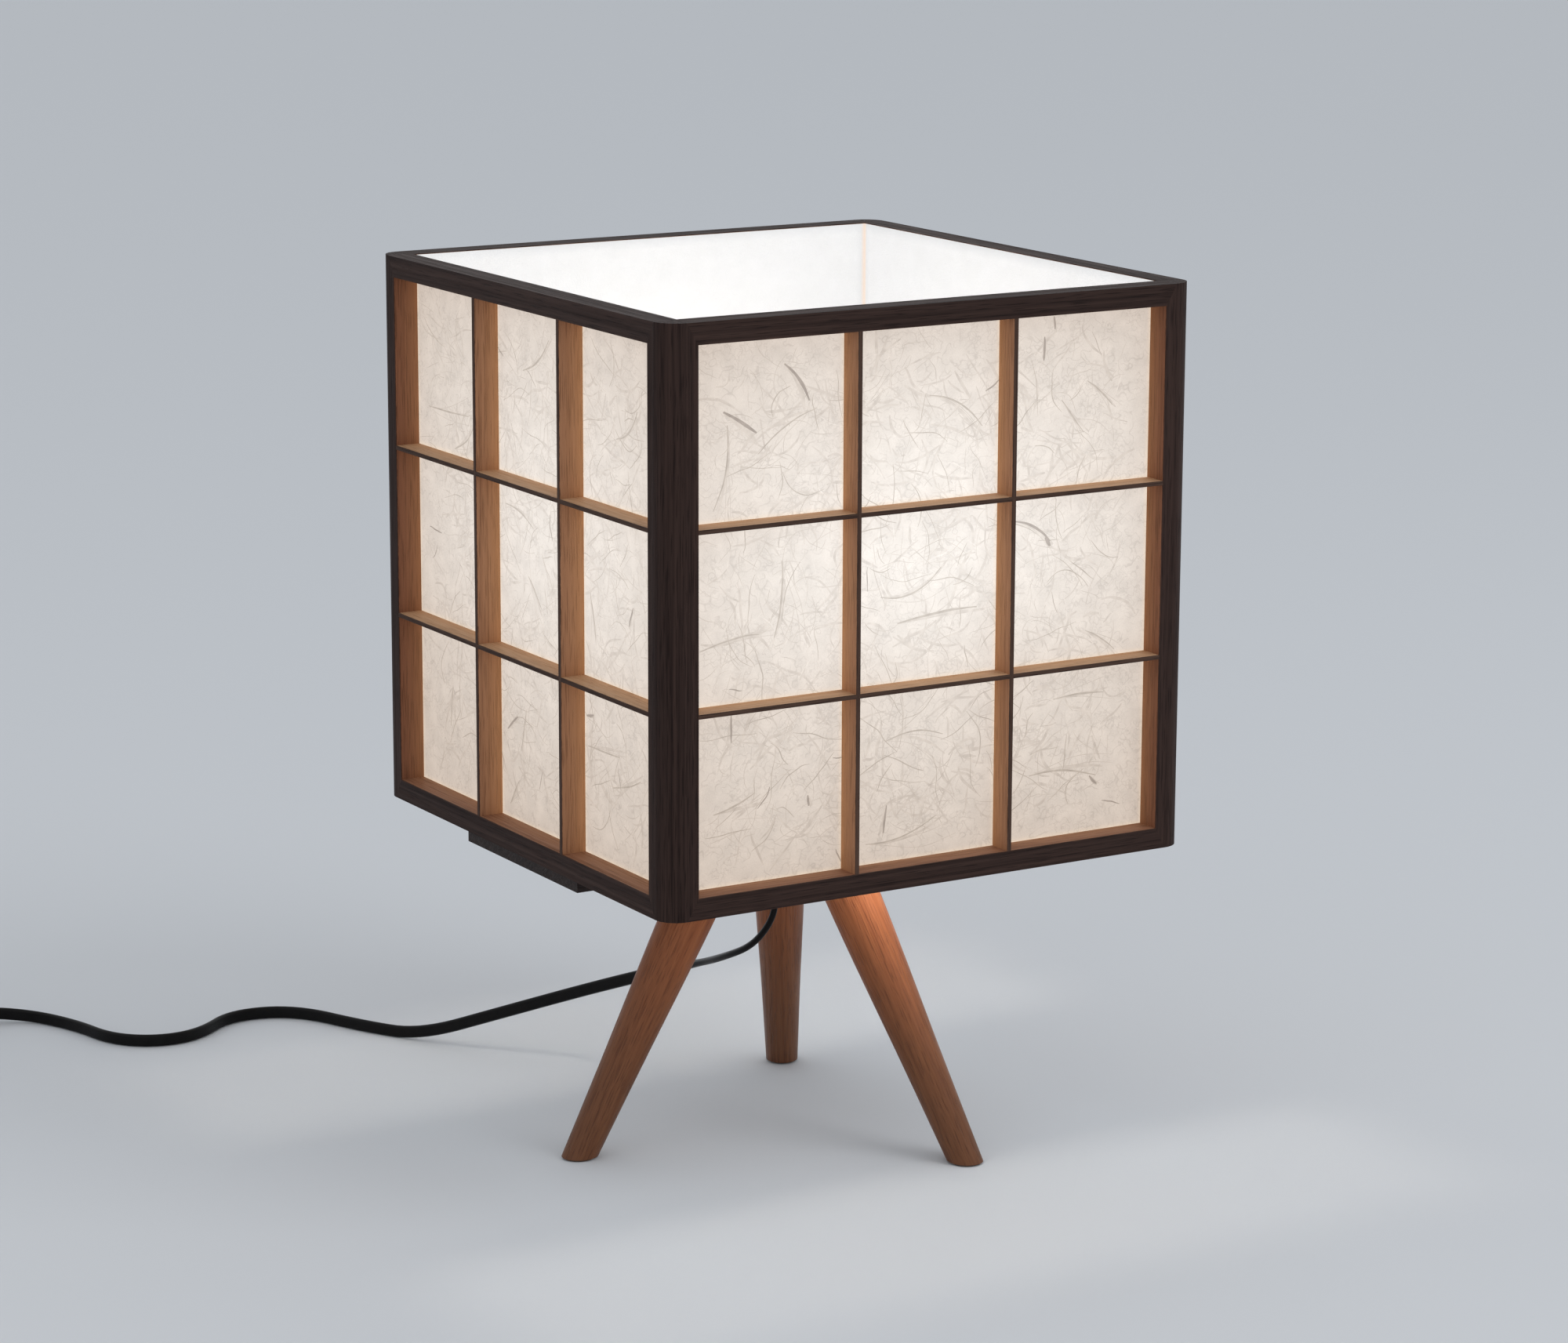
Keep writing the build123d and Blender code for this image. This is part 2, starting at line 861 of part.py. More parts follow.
plug_body = extrude(RectangleRounded(plug_width, plug_thickness, plug_corner), amount=plug_length)
plug_body = chamfer(plug_body.edges().group_by(Axis.Z)[0], plug_edge)
plug_body = relief + Pos(0, 0, relief_length) * plug_body
blade_bottom = relief_length + plug_length - blade_root
blades = []
for side in (-1, 1):
    middle = side * blade_spacing / 2
    faces = (middle - blade_thickness / 2, middle + blade_thickness / 2)
    tip = relief_length + plug_length + blade_length
    blade = block(faces, (-blade_width / 2, blade_width / 2), (blade_bottom, tip))
    plug_body -= blade
    hole = Pos(middle, 0, tip - blade_hole_setback) * Rot(0, 90, 0)
    blades.append(blade - hole * Cylinder(blade_hole_radius, 2 * blade_thickness))

save("plug_body", on_plug(plug_body))
save("plug_blades", *[on_plug(blade) for blade in blades])
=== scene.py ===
"""Looks of the andon lamp. Metres, Z up from the floor, -Y the front lattice face, +X the right one."""

import math
import random

import bmesh
import bpy
from mathutils import Matrix, Vector, noise


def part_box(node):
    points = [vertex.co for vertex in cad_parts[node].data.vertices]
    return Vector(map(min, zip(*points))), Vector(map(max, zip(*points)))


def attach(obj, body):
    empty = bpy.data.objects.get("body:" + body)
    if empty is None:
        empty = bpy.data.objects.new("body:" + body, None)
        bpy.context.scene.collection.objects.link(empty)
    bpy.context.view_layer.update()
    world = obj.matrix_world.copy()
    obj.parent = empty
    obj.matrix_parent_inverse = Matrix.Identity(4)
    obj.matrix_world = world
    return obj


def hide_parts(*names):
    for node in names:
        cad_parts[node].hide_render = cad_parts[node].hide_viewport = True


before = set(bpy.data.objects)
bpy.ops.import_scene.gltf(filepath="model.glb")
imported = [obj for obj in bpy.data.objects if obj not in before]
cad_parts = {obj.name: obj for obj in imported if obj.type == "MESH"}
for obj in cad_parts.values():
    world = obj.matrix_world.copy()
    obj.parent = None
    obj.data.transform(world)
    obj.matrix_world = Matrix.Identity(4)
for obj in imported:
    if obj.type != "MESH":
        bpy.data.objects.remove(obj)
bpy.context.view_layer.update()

# ---------------------------------------------------------------- places taken from the frame

post_low, post_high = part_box("corner_post_front_left")
sheet_low, sheet_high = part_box("paper_front")
upright_low, upright_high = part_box("lattice_upright_front_2")
upper_low, upper_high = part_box("lattice_level_front_upper")
half_width = -post_low.x
shade_bottom = post_low.z
shade_top = post_high.z
shade_middle = (shade_bottom + shade_top) / 2
half_opening = -post_high.x
opening_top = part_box("top_rail_front")[0].z
upright_place = (upright_low.x + upright_high.x) / 2
level_place = (upper_low.z + upper_high.z) / 2 - shade_middle
strip_half = (upright_high.x - upright_low.x) / 2
paper_place = -sheet_low.y
globe_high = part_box("bulb_globe")[1]
bulb_middle = Vector((0, 0, globe_high.z - globe_high.x))

SIDES = {"front": 0, "right": 90, "back": 180, "left": 270}


def turned(angle):
    """The turn about Z that carries the front face to the face at this angle."""
    return Matrix.Rotation(math.radians(angle), 4, "Z")


# ---------------------------------------------------------------- camera


def make_camera():
    place = Vector((-1.0920, -1.8235, 0.6995))
    right = Vector((0.857489, -0.514492, 0.003324))
    up = Vector((0.1088, 0.1876, 0.9762))
    back = Vector((-0.502871, -0.836721, 0.216836))
    lens = bpy.data.cameras.new("camera")
    lens.sensor_fit = "HORIZONTAL"
    lens.sensor_width = 36.0
    lens.lens = 104.36
    lens.clip_end = 60.0
    camera = bpy.data.objects.new("camera", lens)
    bpy.context.scene.collection.objects.link(camera)
    camera.matrix_world = Matrix.Translation(place) @ Matrix((right, up, back)).transposed().to_4x4()
    bpy.context.scene.camera = camera


make_camera()

# ---------------------------------------------------------------- node helpers


def add(tree, kind, inputs=None, **settings):
    """Adds a node. Each input is a number, a colour or another node's output socket."""
    node = tree.nodes.new(kind)
    for name, value in settings.items():
        setattr(node, name, value)
    for name, value in (inputs or {}).items():
        if isinstance(value, bpy.types.NodeSocket):
            tree.links.new(value, node.inputs[name])
        else:
            node.inputs[name].default_value = value
    return node


def math_node(tree, operation, *values):
    return add(tree, "ShaderNodeMath", dict(enumerate(values)), operation=operation).outputs[0]


def mix_colours(tree, share, first, second):
    places = {0: share, 6: first, 7: second}
    return add(tree, "ShaderNodeMix", places, data_type="RGBA").outputs[2]


def stretched_noise(tree, vector, stretch, detail=2.0, roughness=0.5):
    """Noise from 0 to 1 whose cells are 1 / stretch metres along each axis."""
    scaled = add(tree, "ShaderNodeVectorMath", {0: vector, 1: stretch}, operation="MULTIPLY")
    return add(
        tree,
        "ShaderNodeTexNoise",
        {"Vector": scaled.outputs[0], "Scale": 1.0, "Detail": detail, "Roughness": roughness},
    ).outputs["Fac"]


def ramp(tree, value, low, high, bottom=0.0, top=1.0):
    """Spreads low..high over bottom..top, held at both ends."""
    return add(
        tree,
        "ShaderNodeMapRange",
        {"Value": value, "From Min": low, "From Max": high, "To Min": bottom, "To Max": top},
    ).outputs[0]


def new_group(name, inputs, outputs):
    """A shader node group with float or vector sockets by name."""
    kinds = {"float": "NodeSocketFloat", "vector": "NodeSocketVector"}
    tree = bpy.data.node_groups.new(name, "ShaderNodeTree")
    for direction, sockets in (("INPUT", inputs), ("OUTPUT", outputs)):
        for socket, kind in sockets.items():
            tree.interface.new_socket(socket, in_out=direction, socket_type=kinds[kind])
    return tree, tree.nodes.new("NodeGroupInput").outputs, tree.nodes.new("NodeGroupOutput").inputs


def use_group(tree, group, inputs):
    return add(tree, "ShaderNodeGroup", inputs, node_tree=group).outputs


def colour(red, green, blue):
    """A colour given as it looks on a screen, 0 to 255, made linear."""
    shown = (value / 255 for value in (red, green, blue))
    return (*(v / 12.92 if v <= 0.04045 else ((v + 0.055) / 1.055) ** 2.4 for v in shown), 1.0)


def times(tone, factor):
    """A colour with its red, green and blue multiplied, by one number or by three."""
    factors = factor if isinstance(factor, tuple) else (factor,) * 3
    return (*(value * by for value, by in zip(tone, factors)), 1.0)


def new_material(name):
    """A material with only its Principled shader, its node tree and the piece's own coordinates."""
    material = bpy.data.materials.new(name)
    material.use_nodes = True
    tree = material.node_tree
    shader = next(node for node in tree.nodes if node.type == "BSDF_PRINCIPLED")
    place = add(tree, "ShaderNodeTexCoord").outputs["Object"]
    return material, tree, shader, place


def raise_grain(tree, shader, height, depth):
    bump = add(tree, "ShaderNodeBump", {"Height": height, "Strength": 1.0, "Distance": depth})
    tree.links.new(bump.outputs["Normal"], shader.inputs["Normal"])


# ---------------------------------------------------------------- shared effects

post_rounding = 0.0107
skin_depth = 0.0004  # how far the dark tone of the outside reaches in
outside_edge_wander = 0.0006
outside_margin = 0.0001
wear_and_highlight_reach = (0.0001, 0.0010)  # how far the arris's wear and painted highlight spread, at their narrowest and widest

glow_forward = 0.018  # the bulb's light seems to lie this far to the front of its axis
glow_flattening = (1, 1, 1.45)  # the light falls off faster upwards and downwards
glow_falloff = 1.2
seam_reach = 0.0028


def wood_figure_group():
    """Straight wood with its grain along Z: yearly rings, long streaks, pores and a slow drift."""
    tree, given, result = new_group(
        "wood figure",
        {"Vector": "vector", "Ring Spacing": "float", "Wander": "float"},
        {"Rings": "float", "Streaks": "float", "Pores": "float", "Drift": "float"},
    )
    vector = given["Vector"]
    pith = (0.23, -0.34, 0.0)
    wave_cells, drift_cells = (14, 14, 3.5), (26, 26, 5)
    streak_cells, pore_cells = (520, 520, 9), (1700, 1700, 60)
    across = add(tree, "ShaderNodeVectorMath", {0: vector, 1: (1, 1, 0)}, operation="MULTIPLY")
    radius = add(
        tree, "ShaderNodeVectorMath", {0: across.outputs[0], 1: pith}, operation="DISTANCE"
    ).outputs["Value"]
    wave = stretched_noise(tree, vector, wave_cells)
    wandering = math_node(tree, "MULTIPLY", wave, given["Wander"])
    ring_count = math_node(
        tree, "DIVIDE", math_node(tree, "ADD", radius, wandering), given["Ring Spacing"]
    )
    rings = add(
        tree,
        "ShaderNodeTexNoise",
        {"W": ring_count, "Scale": 1.0, "Detail": 2.0, "Roughness": 0.6},
        noise_dimensions="1D",
    ).outputs["Fac"]
    tree.links.new(ramp(tree, rings, 0.32, 0.68), result["Rings"])
    streaks = stretched_noise(tree, vector, streak_cells, detail=3.0, roughness=0.6)
    tree.links.new(ramp(tree, streaks, 0.34, 0.66), result["Streaks"])
    pores = stretched_noise(tree, vector, pore_cells, detail=1.0)
    tree.links.new(ramp(tree, pores, 0.56, 0.68), result["Pores"])
    drift = stretched_noise(tree, vector, drift_cells, detail=1.0)
    tree.links.new(ramp(tree, drift, 0.3, 0.7), result["Drift"])
    return tree


def face_places(tree, vector):
    """For any side: how far out from the middle, how far across its face, how far above or below."""
    parts = add(tree, "ShaderNodeSeparateXYZ", {"Vector": vector}).outputs
    x, y = (math_node(tree, "ABSOLUTE", parts[axis]) for axis in "XY")
    outward = math_node(tree, "MAXIMUM", x, y)
    across = math_node(tree, "MINIMUM", x, y)
    height = math_node(tree, "ABSOLUTE", math_node(tree, "SUBTRACT", parts["Z"], shade_middle))
    return outward, across, height


def outer_skin_group():
    """The shade frame's skin: Mask is 1 on its dark outside and 0 on the bare sides inside its
    openings. Lamplit, a share for painted lamplight, goes from 0 at the outside to 1 at the lining.
    WearAndHighlight is 1 along the arrises of the openings, given as how far across and how high they
    lie from the middle; there wear and a painted highlight lighten the dark outside."""
    tree, given, result = new_group(
        "outer skin",
        {"Vector": "vector", "Upright Arris": "float", "Level Arris": "float"},
        {"Mask": "float", "Lamplit": "float", "WearAndHighlight": "float"},
    )
    outward, across, height = face_places(tree, given["Vector"])
    outside_edge_noise = stretched_noise(tree, given["Vector"], (300, 300, 300))
    outside_edge_shift = math_node(tree, "MULTIPLY", outside_edge_noise, outside_edge_wander)
    half_height = shade_top - shade_middle
    shifted_outward = math_node(tree, "ADD", outward, outside_edge_shift)
    flat = math_node(tree, "GREATER_THAN", shifted_outward, half_width - outside_margin)
    corner = math_node(tree, "GREATER_THAN", across, half_width - post_rounding)
    ends = math_node(tree, "GREATER_THAN", height, half_height - skin_depth)
    mask = math_node(tree, "MAXIMUM", math_node(tree, "MAXIMUM", flat, corner), ends)
    tree.links.new(mask, result["Mask"])
    tree.links.new(ramp(tree, outward, paper_place, half_width, 1.0, 0.0), result["Lamplit"])
    sideways = math_node(tree, "ABSOLUTE", math_node(tree, "SUBTRACT", across, given["Upright Arris"]))
    upwards = math_node(tree, "ABSOLUTE", math_node(tree, "SUBTRACT", height, given["Level Arris"]))
    rubbed_and_lit = stretched_noise(tree, given["Vector"], (160, 160, 160), detail=3.0)
    reach = ramp(tree, rubbed_and_lit, 0.35, 0.75, *wear_and_highlight_reach)
    nearest = math_node(tree, "MINIMUM", sideways, upwards)
    worn_and_lit = math_node(tree, "SUBTRACT", 1.0, math_node(tree, "DIVIDE", nearest, reach))
    tree.links.new(math_node(tree, "MAXIMUM", worn_and_lit, 0.0), result["WearAndHighlight"])
    return tree


def lamplight_group():
    """How brightly the bulb shines through the lining here, 1 beside the bulb and less further off,
    and Seam, 1 on the lining where it meets the wood and 0 from a few millimetres away."""
    tree, given, result = new_group(
        "lamplight", {"Vector": "vector"}, {"Light": "float", "Seam": "float"}
    )
    glow_middle = bulb_middle + Vector((0, -glow_forward, 0))
    offset = add(
        tree, "ShaderNodeVectorMath", {0: given["Vector"], 1: tuple(glow_middle)}, operation="SUBTRACT"
    )
    flattened = add(
        tree, "ShaderNodeVectorMath", {0: offset.outputs[0], 1: glow_flattening}, operation="MULTIPLY"
    )
    away = add(tree, "ShaderNodeVectorMath", {0: flattened.outputs[0]}, operation="LENGTH")
    nearness = math_node(tree, "DIVIDE", paper_place, away.outputs["Value"])
    tree.links.new(math_node(tree, "POWER", nearness, glow_falloff), result["Light"])
    _, across, height = face_places(tree, given["Vector"])
    gaps = [
        math_node(tree, "SUBTRACT", half_opening, across),
        math_node(tree, "SUBTRACT", opening_top - shade_middle, height),
    ]
    for place, strip in ((across, upright_place), (height, level_place)):
        off = math_node(tree, "ABSOLUTE", math_node(tree, "SUBTRACT", place, strip))
        gaps.append(math_node(tree, "SUBTRACT", off, strip_half))
    nearest = gaps[0]
    for gap in gaps[1:]:
        nearest = math_node(tree, "MINIMUM", nearest, gap)
    tree.links.new(ramp(tree, nearest, 0.0, seam_reach, 1.0, 0.0), result["Seam"])
    return tree


def marks_group():
    """Soft blotches and fine specks, both 0 to 1."""
    tree, given, result = new_group(
        "marks", {"Vector": "vector", "Size": "float"}, {"Blotches": "float", "Specks": "float"}
    )
    scaled = add(tree, "ShaderNodeVectorMath", {0: given["Vector"]}, operation="SCALE")
    tree.links.new(math_node(tree, "DIVIDE", 1.0, given["Size"]), scaled.inputs["Scale"])
    blotches = stretched_noise(tree, scaled.outputs[0], (1, 1, 1), detail=3.0)
    specks = stretched_noise(tree, scaled.outputs[0], (14, 14, 14), detail=2.0, roughness=0.7)
    tree.links.new(ramp(tree, blotches, 0.3, 0.7), result["Blotches"])
    tree.links.new(ramp(tree, specks, 0.35, 0.65), result["Specks"])
    return tree


def pulp_group():
    """Paper pulp: hair-thin threads that wander, break off and cross, 0 to 1."""
    tree, given, result = new_group("pulp", {"Vector": "vector"}, {"Threads": "float"})
    layers = ((0.0, 150), (0.7, 210), (1.9, 290))  # each shifted, with its cells per metre
    core, edge = 0.004, 0.028  # where the noise is this close to its middle, a thread shows
    woven = None
    for shift, size in layers:
        moved = add(
            tree, "ShaderNodeVectorMath", {0: given["Vector"], 1: (shift, shift, shift)}, operation="ADD"
        ).outputs[0]
        line = stretched_noise(tree, moved, (size, size, size), detail=1.0)
        off = math_node(tree, "ABSOLUTE", math_node(tree, "SUBTRACT", line, 0.5))
        broken = ramp(tree, stretched_noise(tree, moved, (95, 95, 95), detail=1.0), 0.47, 0.6)
        thread = math_node(tree, "MULTIPLY", ramp(tree, off, core, edge, 1.0, 0.0), broken)
        woven = thread if woven is None else math_node(tree, "MAXIMUM", woven, thread)
    tree.links.new(woven, result["Threads"])
    return tree


wood_figure = wood_figure_group()
outer_skin = outer_skin_group()
lamplight = lamplight_group()
marks = marks_group()
pulp = pulp_group()

# ---------------------------------------------------------------- woods

DIRECTIONS = {"x": Vector((1, 0, 0)), "y": Vector((0, 1, 0)), "z": Vector((0, 0, 1))}
NONE = 10.0  # an arris too far off to show

figure_shares = {"Rings": 0.42, "Streaks": 0.36, "Drift": 0.22}
lamplit_bend = 1.6  # how closely the lamplit tone keeps to the lining
foot_bend = 2.4  # how closely the lighter tone of a leg, painted lamplight, keeps to its top
# How much the arrises lighten towards the bare tone: wear and a painted highlight.
wear_and_highlight_share = 0.16
pit_depth = 2.0
grain_depth = 0.00007


def wood_colour(tree, figure, light, dark, pore):
    """The colour of bare or dark-faced wood from its figure."""
    parts = [
        math_node(tree, "MULTIPLY", figure[name], share) for name, share in figure_shares.items()
    ]
    share = math_node(tree, "ADD", math_node(tree, "ADD", parts[0], parts[1]), parts[2])
    grain = mix_colours(tree, share, light, dark)
    return mix_colours(tree, math_node(tree, "MULTIPLY", figure["Pores"], 0.5), grain, pore)


def wood(
    name,
    along,
    bare,
    outside_tones=None,
    foot=None,
    ring_spacing=0.0016,
    wander=0.004,
    roughness=0.5,
    arrises=(NONE, NONE),
    lamplit=0.6,
):
    """Wood with its grain along a direction. With outside tones, its outside is dark and its inside
    takes a painted lamplit tone near the lining. With foot tones, it fades to them from under the shade
    down to the floor: painted lamplight on a leg's top, painted shade towards its foot."""
    material, tree, shader, place = new_material(name)
    turn = Vector(along).rotation_difference(DIRECTIONS["z"]).to_euler()
    grain = add(tree, "ShaderNodeMapping", {"Vector": place, "Rotation": tuple(turn)}).outputs[0]
    figure = use_group(
        tree, wood_figure, {"Vector": grain, "Ring Spacing": ring_spacing, "Wander": wander}
    )
    surface = wood_colour(tree, figure, *bare)
    # Painted lamplight on the upper leg, fading to painted shade at the foot.
    if foot:
        height = add(tree, "ShaderNodeSeparateXYZ", {"Vector": place}).outputs["Z"]
        lit = math_node(tree, "POWER", ramp(tree, height, 0.0, shade_bottom), foot_bend)
        surface = mix_colours(tree, lit, wood_colour(tree, figure, *foot), surface)
    if outside_tones:
        upright_arris, level_arris = arrises
        skin = use_group(
            tree,
            outer_skin,
            {"Vector": place, "Upright Arris": upright_arris, "Level Arris": level_arris},
        )
        # Painted lamplight: the bare wood inside the openings turns to the lamplit tone near the lining.
        near_lining = math_node(tree, "POWER", skin["Lamplit"], lamplit_bend)
        lit = math_node(tree, "MULTIPLY", near_lining, lamplit)
        surface = mix_colours(tree, lit, surface, lamplit_tone)
        # Wear and a painted highlight lighten the dark outside along the arrises.
        rubbed_and_lit = math_node(tree, "MULTIPLY", skin["WearAndHighlight"], wear_and_highlight_share)
        dark = mix_colours(tree, rubbed_and_lit, wood_colour(tree, figure, *outside_tones), bare[1])
        surface = mix_colours(tree, skin["Mask"], surface, dark)
    tree.links.new(surface, shader.inputs["Base Color"])
    tree.links.new(
        ramp(tree, figure["Streaks"], 0.0, 1.0, roughness - 0.06, roughness + 0.08),
        shader.inputs["Roughness"],
    )
    shader.inputs["Specular IOR Level"].default_value = 0.05 if outside_tones else 0.20
    pits = math_node(tree, "MULTIPLY", figure["Pores"], pit_depth)
    raise_grain(tree, shader, math_node(tree, "SUBTRACT", figure["Rings"], pits), grain_depth)
    return material


# The lamplit tone is painted lamplight on the wood beside the lining.
lamplit_tone = colour(212, 156, 108)
strip_tones = (colour(178, 132, 101), colour(148, 106, 79), colour(112, 77, 56))
level_tones = (colour(194, 160, 128), colour(170, 134, 104), colour(136, 101, 75))
post_tones = (colour(144, 98, 74), colour(118, 78, 58), colour(85, 55, 40))
rail_tones = (colour(151, 110, 87), colour(127, 89, 68), colour(96, 64, 47))
# Dark tones for the outside faces of the frame and of the strips.
frame_outside_tones = (colour(68, 52, 47), colour(39, 29, 27), colour(21, 15, 15))
strip_outside_tones = (colour(88, 68, 58), colour(62, 46, 40), colour(39, 30, 27))
plank_tones = (colour(46, 30, 25), colour(27, 17, 15), colour(18, 12, 10))
# The legs' lighter tops are painted lamplight and their darker feet painted shade.
leg_lamplit_top_tones = (colour(222, 131, 79), colour(177, 98, 57), colour(137, 75, 45))
leg_shaded_foot_tones = (colour(120, 79, 53), colour(95, 58, 37), colour(71, 42, 29))


def finish_node(node, material):
    """Gives a CAD node its one material."""
    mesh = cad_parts[node].data
    mesh.materials.clear()
    mesh.materials.append(material)


strip_rings = 0.0011
upright_wood = wood(
    "dark_faced_upright_wood", DIRECTIONS["z"], strip_tones, strip_outside_tones, ring_spacing=strip_rings
)
for axis, sides in (("x", ("front", "back")), ("y", ("right", "left"))):
    along = DIRECTIONS[axis]
    rail_arrises = (NONE, opening_top - shade_middle)
    rail_wood = wood(
        f"dark_faced_rail_wood_{axis}", along, rail_tones, frame_outside_tones, arrises=rail_arrises, lamplit=0.25
    )
    level_wood = wood(
        f"dark_faced_level_wood_{axis}",
        along,
        level_tones,
        strip_outside_tones,
        ring_spacing=strip_rings,
        lamplit=0.45,
    )
    for side in sides:
        for height in ("top", "bottom"):
            finish_node(f"{height}_rail_{side}", rail_wood)
        for height in ("lower", "upper"):
            finish_node(f"lattice_level_{side}_{height}", level_wood)
        for number in (1, 2):
            finish_node(f"lattice_upright_{side}_{number}", upright_wood)

post_arrises = (half_opening, NONE)
post_wood = wood(
    "dark_faced_post_wood", DIRECTIONS["z"], post_tones, frame_outside_tones, arrises=post_arrises, lamplit=0.35
)
for corner in ("front_left", "front_right", "back_right", "back_left"):
    finish_node(f"corner_post_{corner}", post_wood)

finish_node("plank", wood("plank_wood", DIRECTIONS["x"], plank_tones, ring_spacing=0.0022, wander=0.01))

LEGS = ("left", "front", "back")
leg_splay = 0.53  # outwards for each unit down
for leg in LEGS:
    low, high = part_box(f"leg_{leg}")
    middle = (low + high) / 2
    lean = Vector((-middle.x, -middle.y, 0)).normalized() * leg_splay + DIRECTIONS["z"]
    leg_wood = wood(
        f"turned_leg_wood_{leg}", lean, leg_lamplit_top_tones, foot=leg_shaded_foot_tones, wander=0.012, roughness=0.4
    )
    finish_node(f"leg_{leg}", leg_wood)

# ---------------------------------------------------------------- lining paper

glow_near = (0.930, 0.871, 0.815, 1.0)
glow_far = (0.600, 0.500, 0.423, 1.0)
seam_glow = (0.96, 0.74, 0.52, 1.0)
seam_share = 0.45
dim_light, bright_light = 0.45, 1.15  # the lamplight at which the glow is wholly far or near
pulp_relief = 0.00008


def paper_glow(tree, shader, place, shadow, tint=1.0):
    """The light that comes through the lining: white near the bulb, warmer and darker away from it."""
    lamp = use_group(tree, lamplight, {"Vector": place})
    shade = ramp(tree, lamp["Light"], dim_light, bright_light)
    glow = mix_colours(tree, shade, times(glow_far, tint), times(glow_near, tint))
    seam = math_node(tree, "MULTIPLY", math_node(tree, "POWER", lamp["Seam"], 2.0), seam_share)
    glow = mix_colours(tree, seam, glow, times(seam_glow, tint))
    tree.links.new(mix_colours(tree, shadow, glow, (0, 0, 0, 1)), shader.inputs["Emission Color"])
    shader.inputs["Emission Strength"].default_value = 1.0
    shader.inputs["Specular IOR Level"].default_value = 0.15


def paper_outside():
    """Backlit fibre paper, cloudy where its pulp is thicker and crossed by hair-thin threads."""
    material, tree, shader, place = new_material("lining_paper_outside")
    clouds = use_group(tree, marks, {"Vector": place, "Size": 0.009})
    threads = use_group(tree, pulp, {"Vector": place})["Threads"]
    thick = math_node(tree, "MULTIPLY", clouds["Blotches"], 0.13)
    fuzz = math_node(tree, "MULTIPLY", clouds["Specks"], 0.06)
    lines = math_node(tree, "MULTIPLY", threads, 0.09)
    shadow = math_node(tree, "ADD", math_node(tree, "ADD", thick, fuzz), lines)
    paper_glow(tree, shader, place, shadow)
    body = (0.20, 0.195, 0.18, 1.0)
    tree.links.new(mix_colours(tree, threads, body, times(body, 0.7)), shader.inputs["Base Color"])
    shader.inputs["Roughness"].default_value = 0.85
    raise_grain(tree, shader, math_node(tree, "ADD", clouds["Specks"], threads), pulp_relief)
    return material


def paper_inside():
    """The same paper on the bulb's side, evenly lit, with a warm line where two sheets meet."""
    material, tree, shader, place = new_material("lining_paper_inside")
    clouds = use_group(tree, marks, {"Vector": place, "Size": 0.013})
    threads = use_group(tree, pulp, {"Vector": place})["Threads"]
    glow = mix_colours(tree, clouds["Blotches"], (0.68, 0.68, 0.685, 1), (0.655, 0.655, 0.655, 1))
    _, across, _ = face_places(tree, place)
    # Painted glow: a warm line of light along the corner where the sheets meet.
    line_starts, line_ends = 0.0022, 0.0005  # before the corner
    corner = ramp(tree, across, paper_place - line_starts, paper_place - line_ends)
    glow = mix_colours(tree, corner, glow, (0.80, 0.66, 0.55, 1))
    tree.links.new(glow, shader.inputs["Emission Color"])
    shader.inputs["Emission Strength"].default_value = 1.0
    body = (0.18, 0.18, 0.183, 1.0)
    tree.links.new(mix_colours(tree, threads, body, times(body, 0.94)), shader.inputs["Base Color"])
    shader.inputs["Roughness"].default_value = 0.85
    shader.inputs["Specular IOR Level"].default_value = 0.15
    raise_grain(tree, shader, clouds["Specks"], pulp_relief)
    return material


def fibre(name, tint, body):
    """Bark fibre laid in the paper, which shows darker against the light, patch by patch."""
    material, tree, shader, place = new_material(name)
    patches = use_group(tree, marks, {"Vector": place, "Size": 0.004})["Blotches"]
    paper_glow(tree, shader, place, math_node(tree, "MULTIPLY", patches, 0.16), tint)
    tree.links.new(mix_colours(tree, patches, body, times(body, 0.6)), shader.inputs["Base Color"])
    shader.inputs["Roughness"].default_value = 0.8
    return material


FINE, COARSE, BARK, PALE, SOFT = range(5)
fibre_tones = [
    fibre("fine_fibre", (0.84, 0.83, 0.815), (0.16, 0.155, 0.145, 1)),
    fibre("coarse_fibre", (0.72, 0.705, 0.685), (0.14, 0.135, 0.12, 1)),
    fibre("bark_sliver", (0.58, 0.56, 0.55), (0.09, 0.085, 0.08, 1)),
    fibre("pale_fibre", (1.04, 1.04, 1.04), (0.2, 0.2, 0.19, 1)),
    fibre("soft_fibre", (0.905, 0.897, 0.89), (0.18, 0.175, 0.16, 1)),
]
fibre_lift = {SOFT: 0.0, PALE: 0.00002, FINE: 0.00003, COARSE: 0.000045, BARK: 0.00006}


def link_piece(name, mesh, body, materials):
    for material in materials:
        mesh.materials.append(material)
    piece = bpy.data.objects.new(name, mesh)
    bpy.context.scene.collection.objects.link(piece)
    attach(piece, body)
    return piece


def made_mesh(curve):
    """The mesh that a curve makes, without leaving the curve in the scene."""
    drawn = bpy.data.objects.new(curve.name, curve)
    bpy.context.scene.collection.objects.link(drawn)
    bpy.context.view_layer.update()
    mesh = bpy.data.meshes.new_from_object(drawn.evaluated_get(bpy.context.evaluated_depsgraph_get()))
    bpy.data.objects.remove(drawn)
    return mesh


sheet_width = sheet_high.x - sheet_low.x
sheet_height = sheet_high.z - sheet_low.z
sheet_middle = Vector((0, sheet_low.y, (sheet_low.z + sheet_high.z) / 2))
sheet_thickness = 0.00016
cockle_depth = 0.00022
cockles_per_metre = 22
cells_across = 3
lining_width = 2 * (paper_place - sheet_thickness)  # the sheets meet at the corners


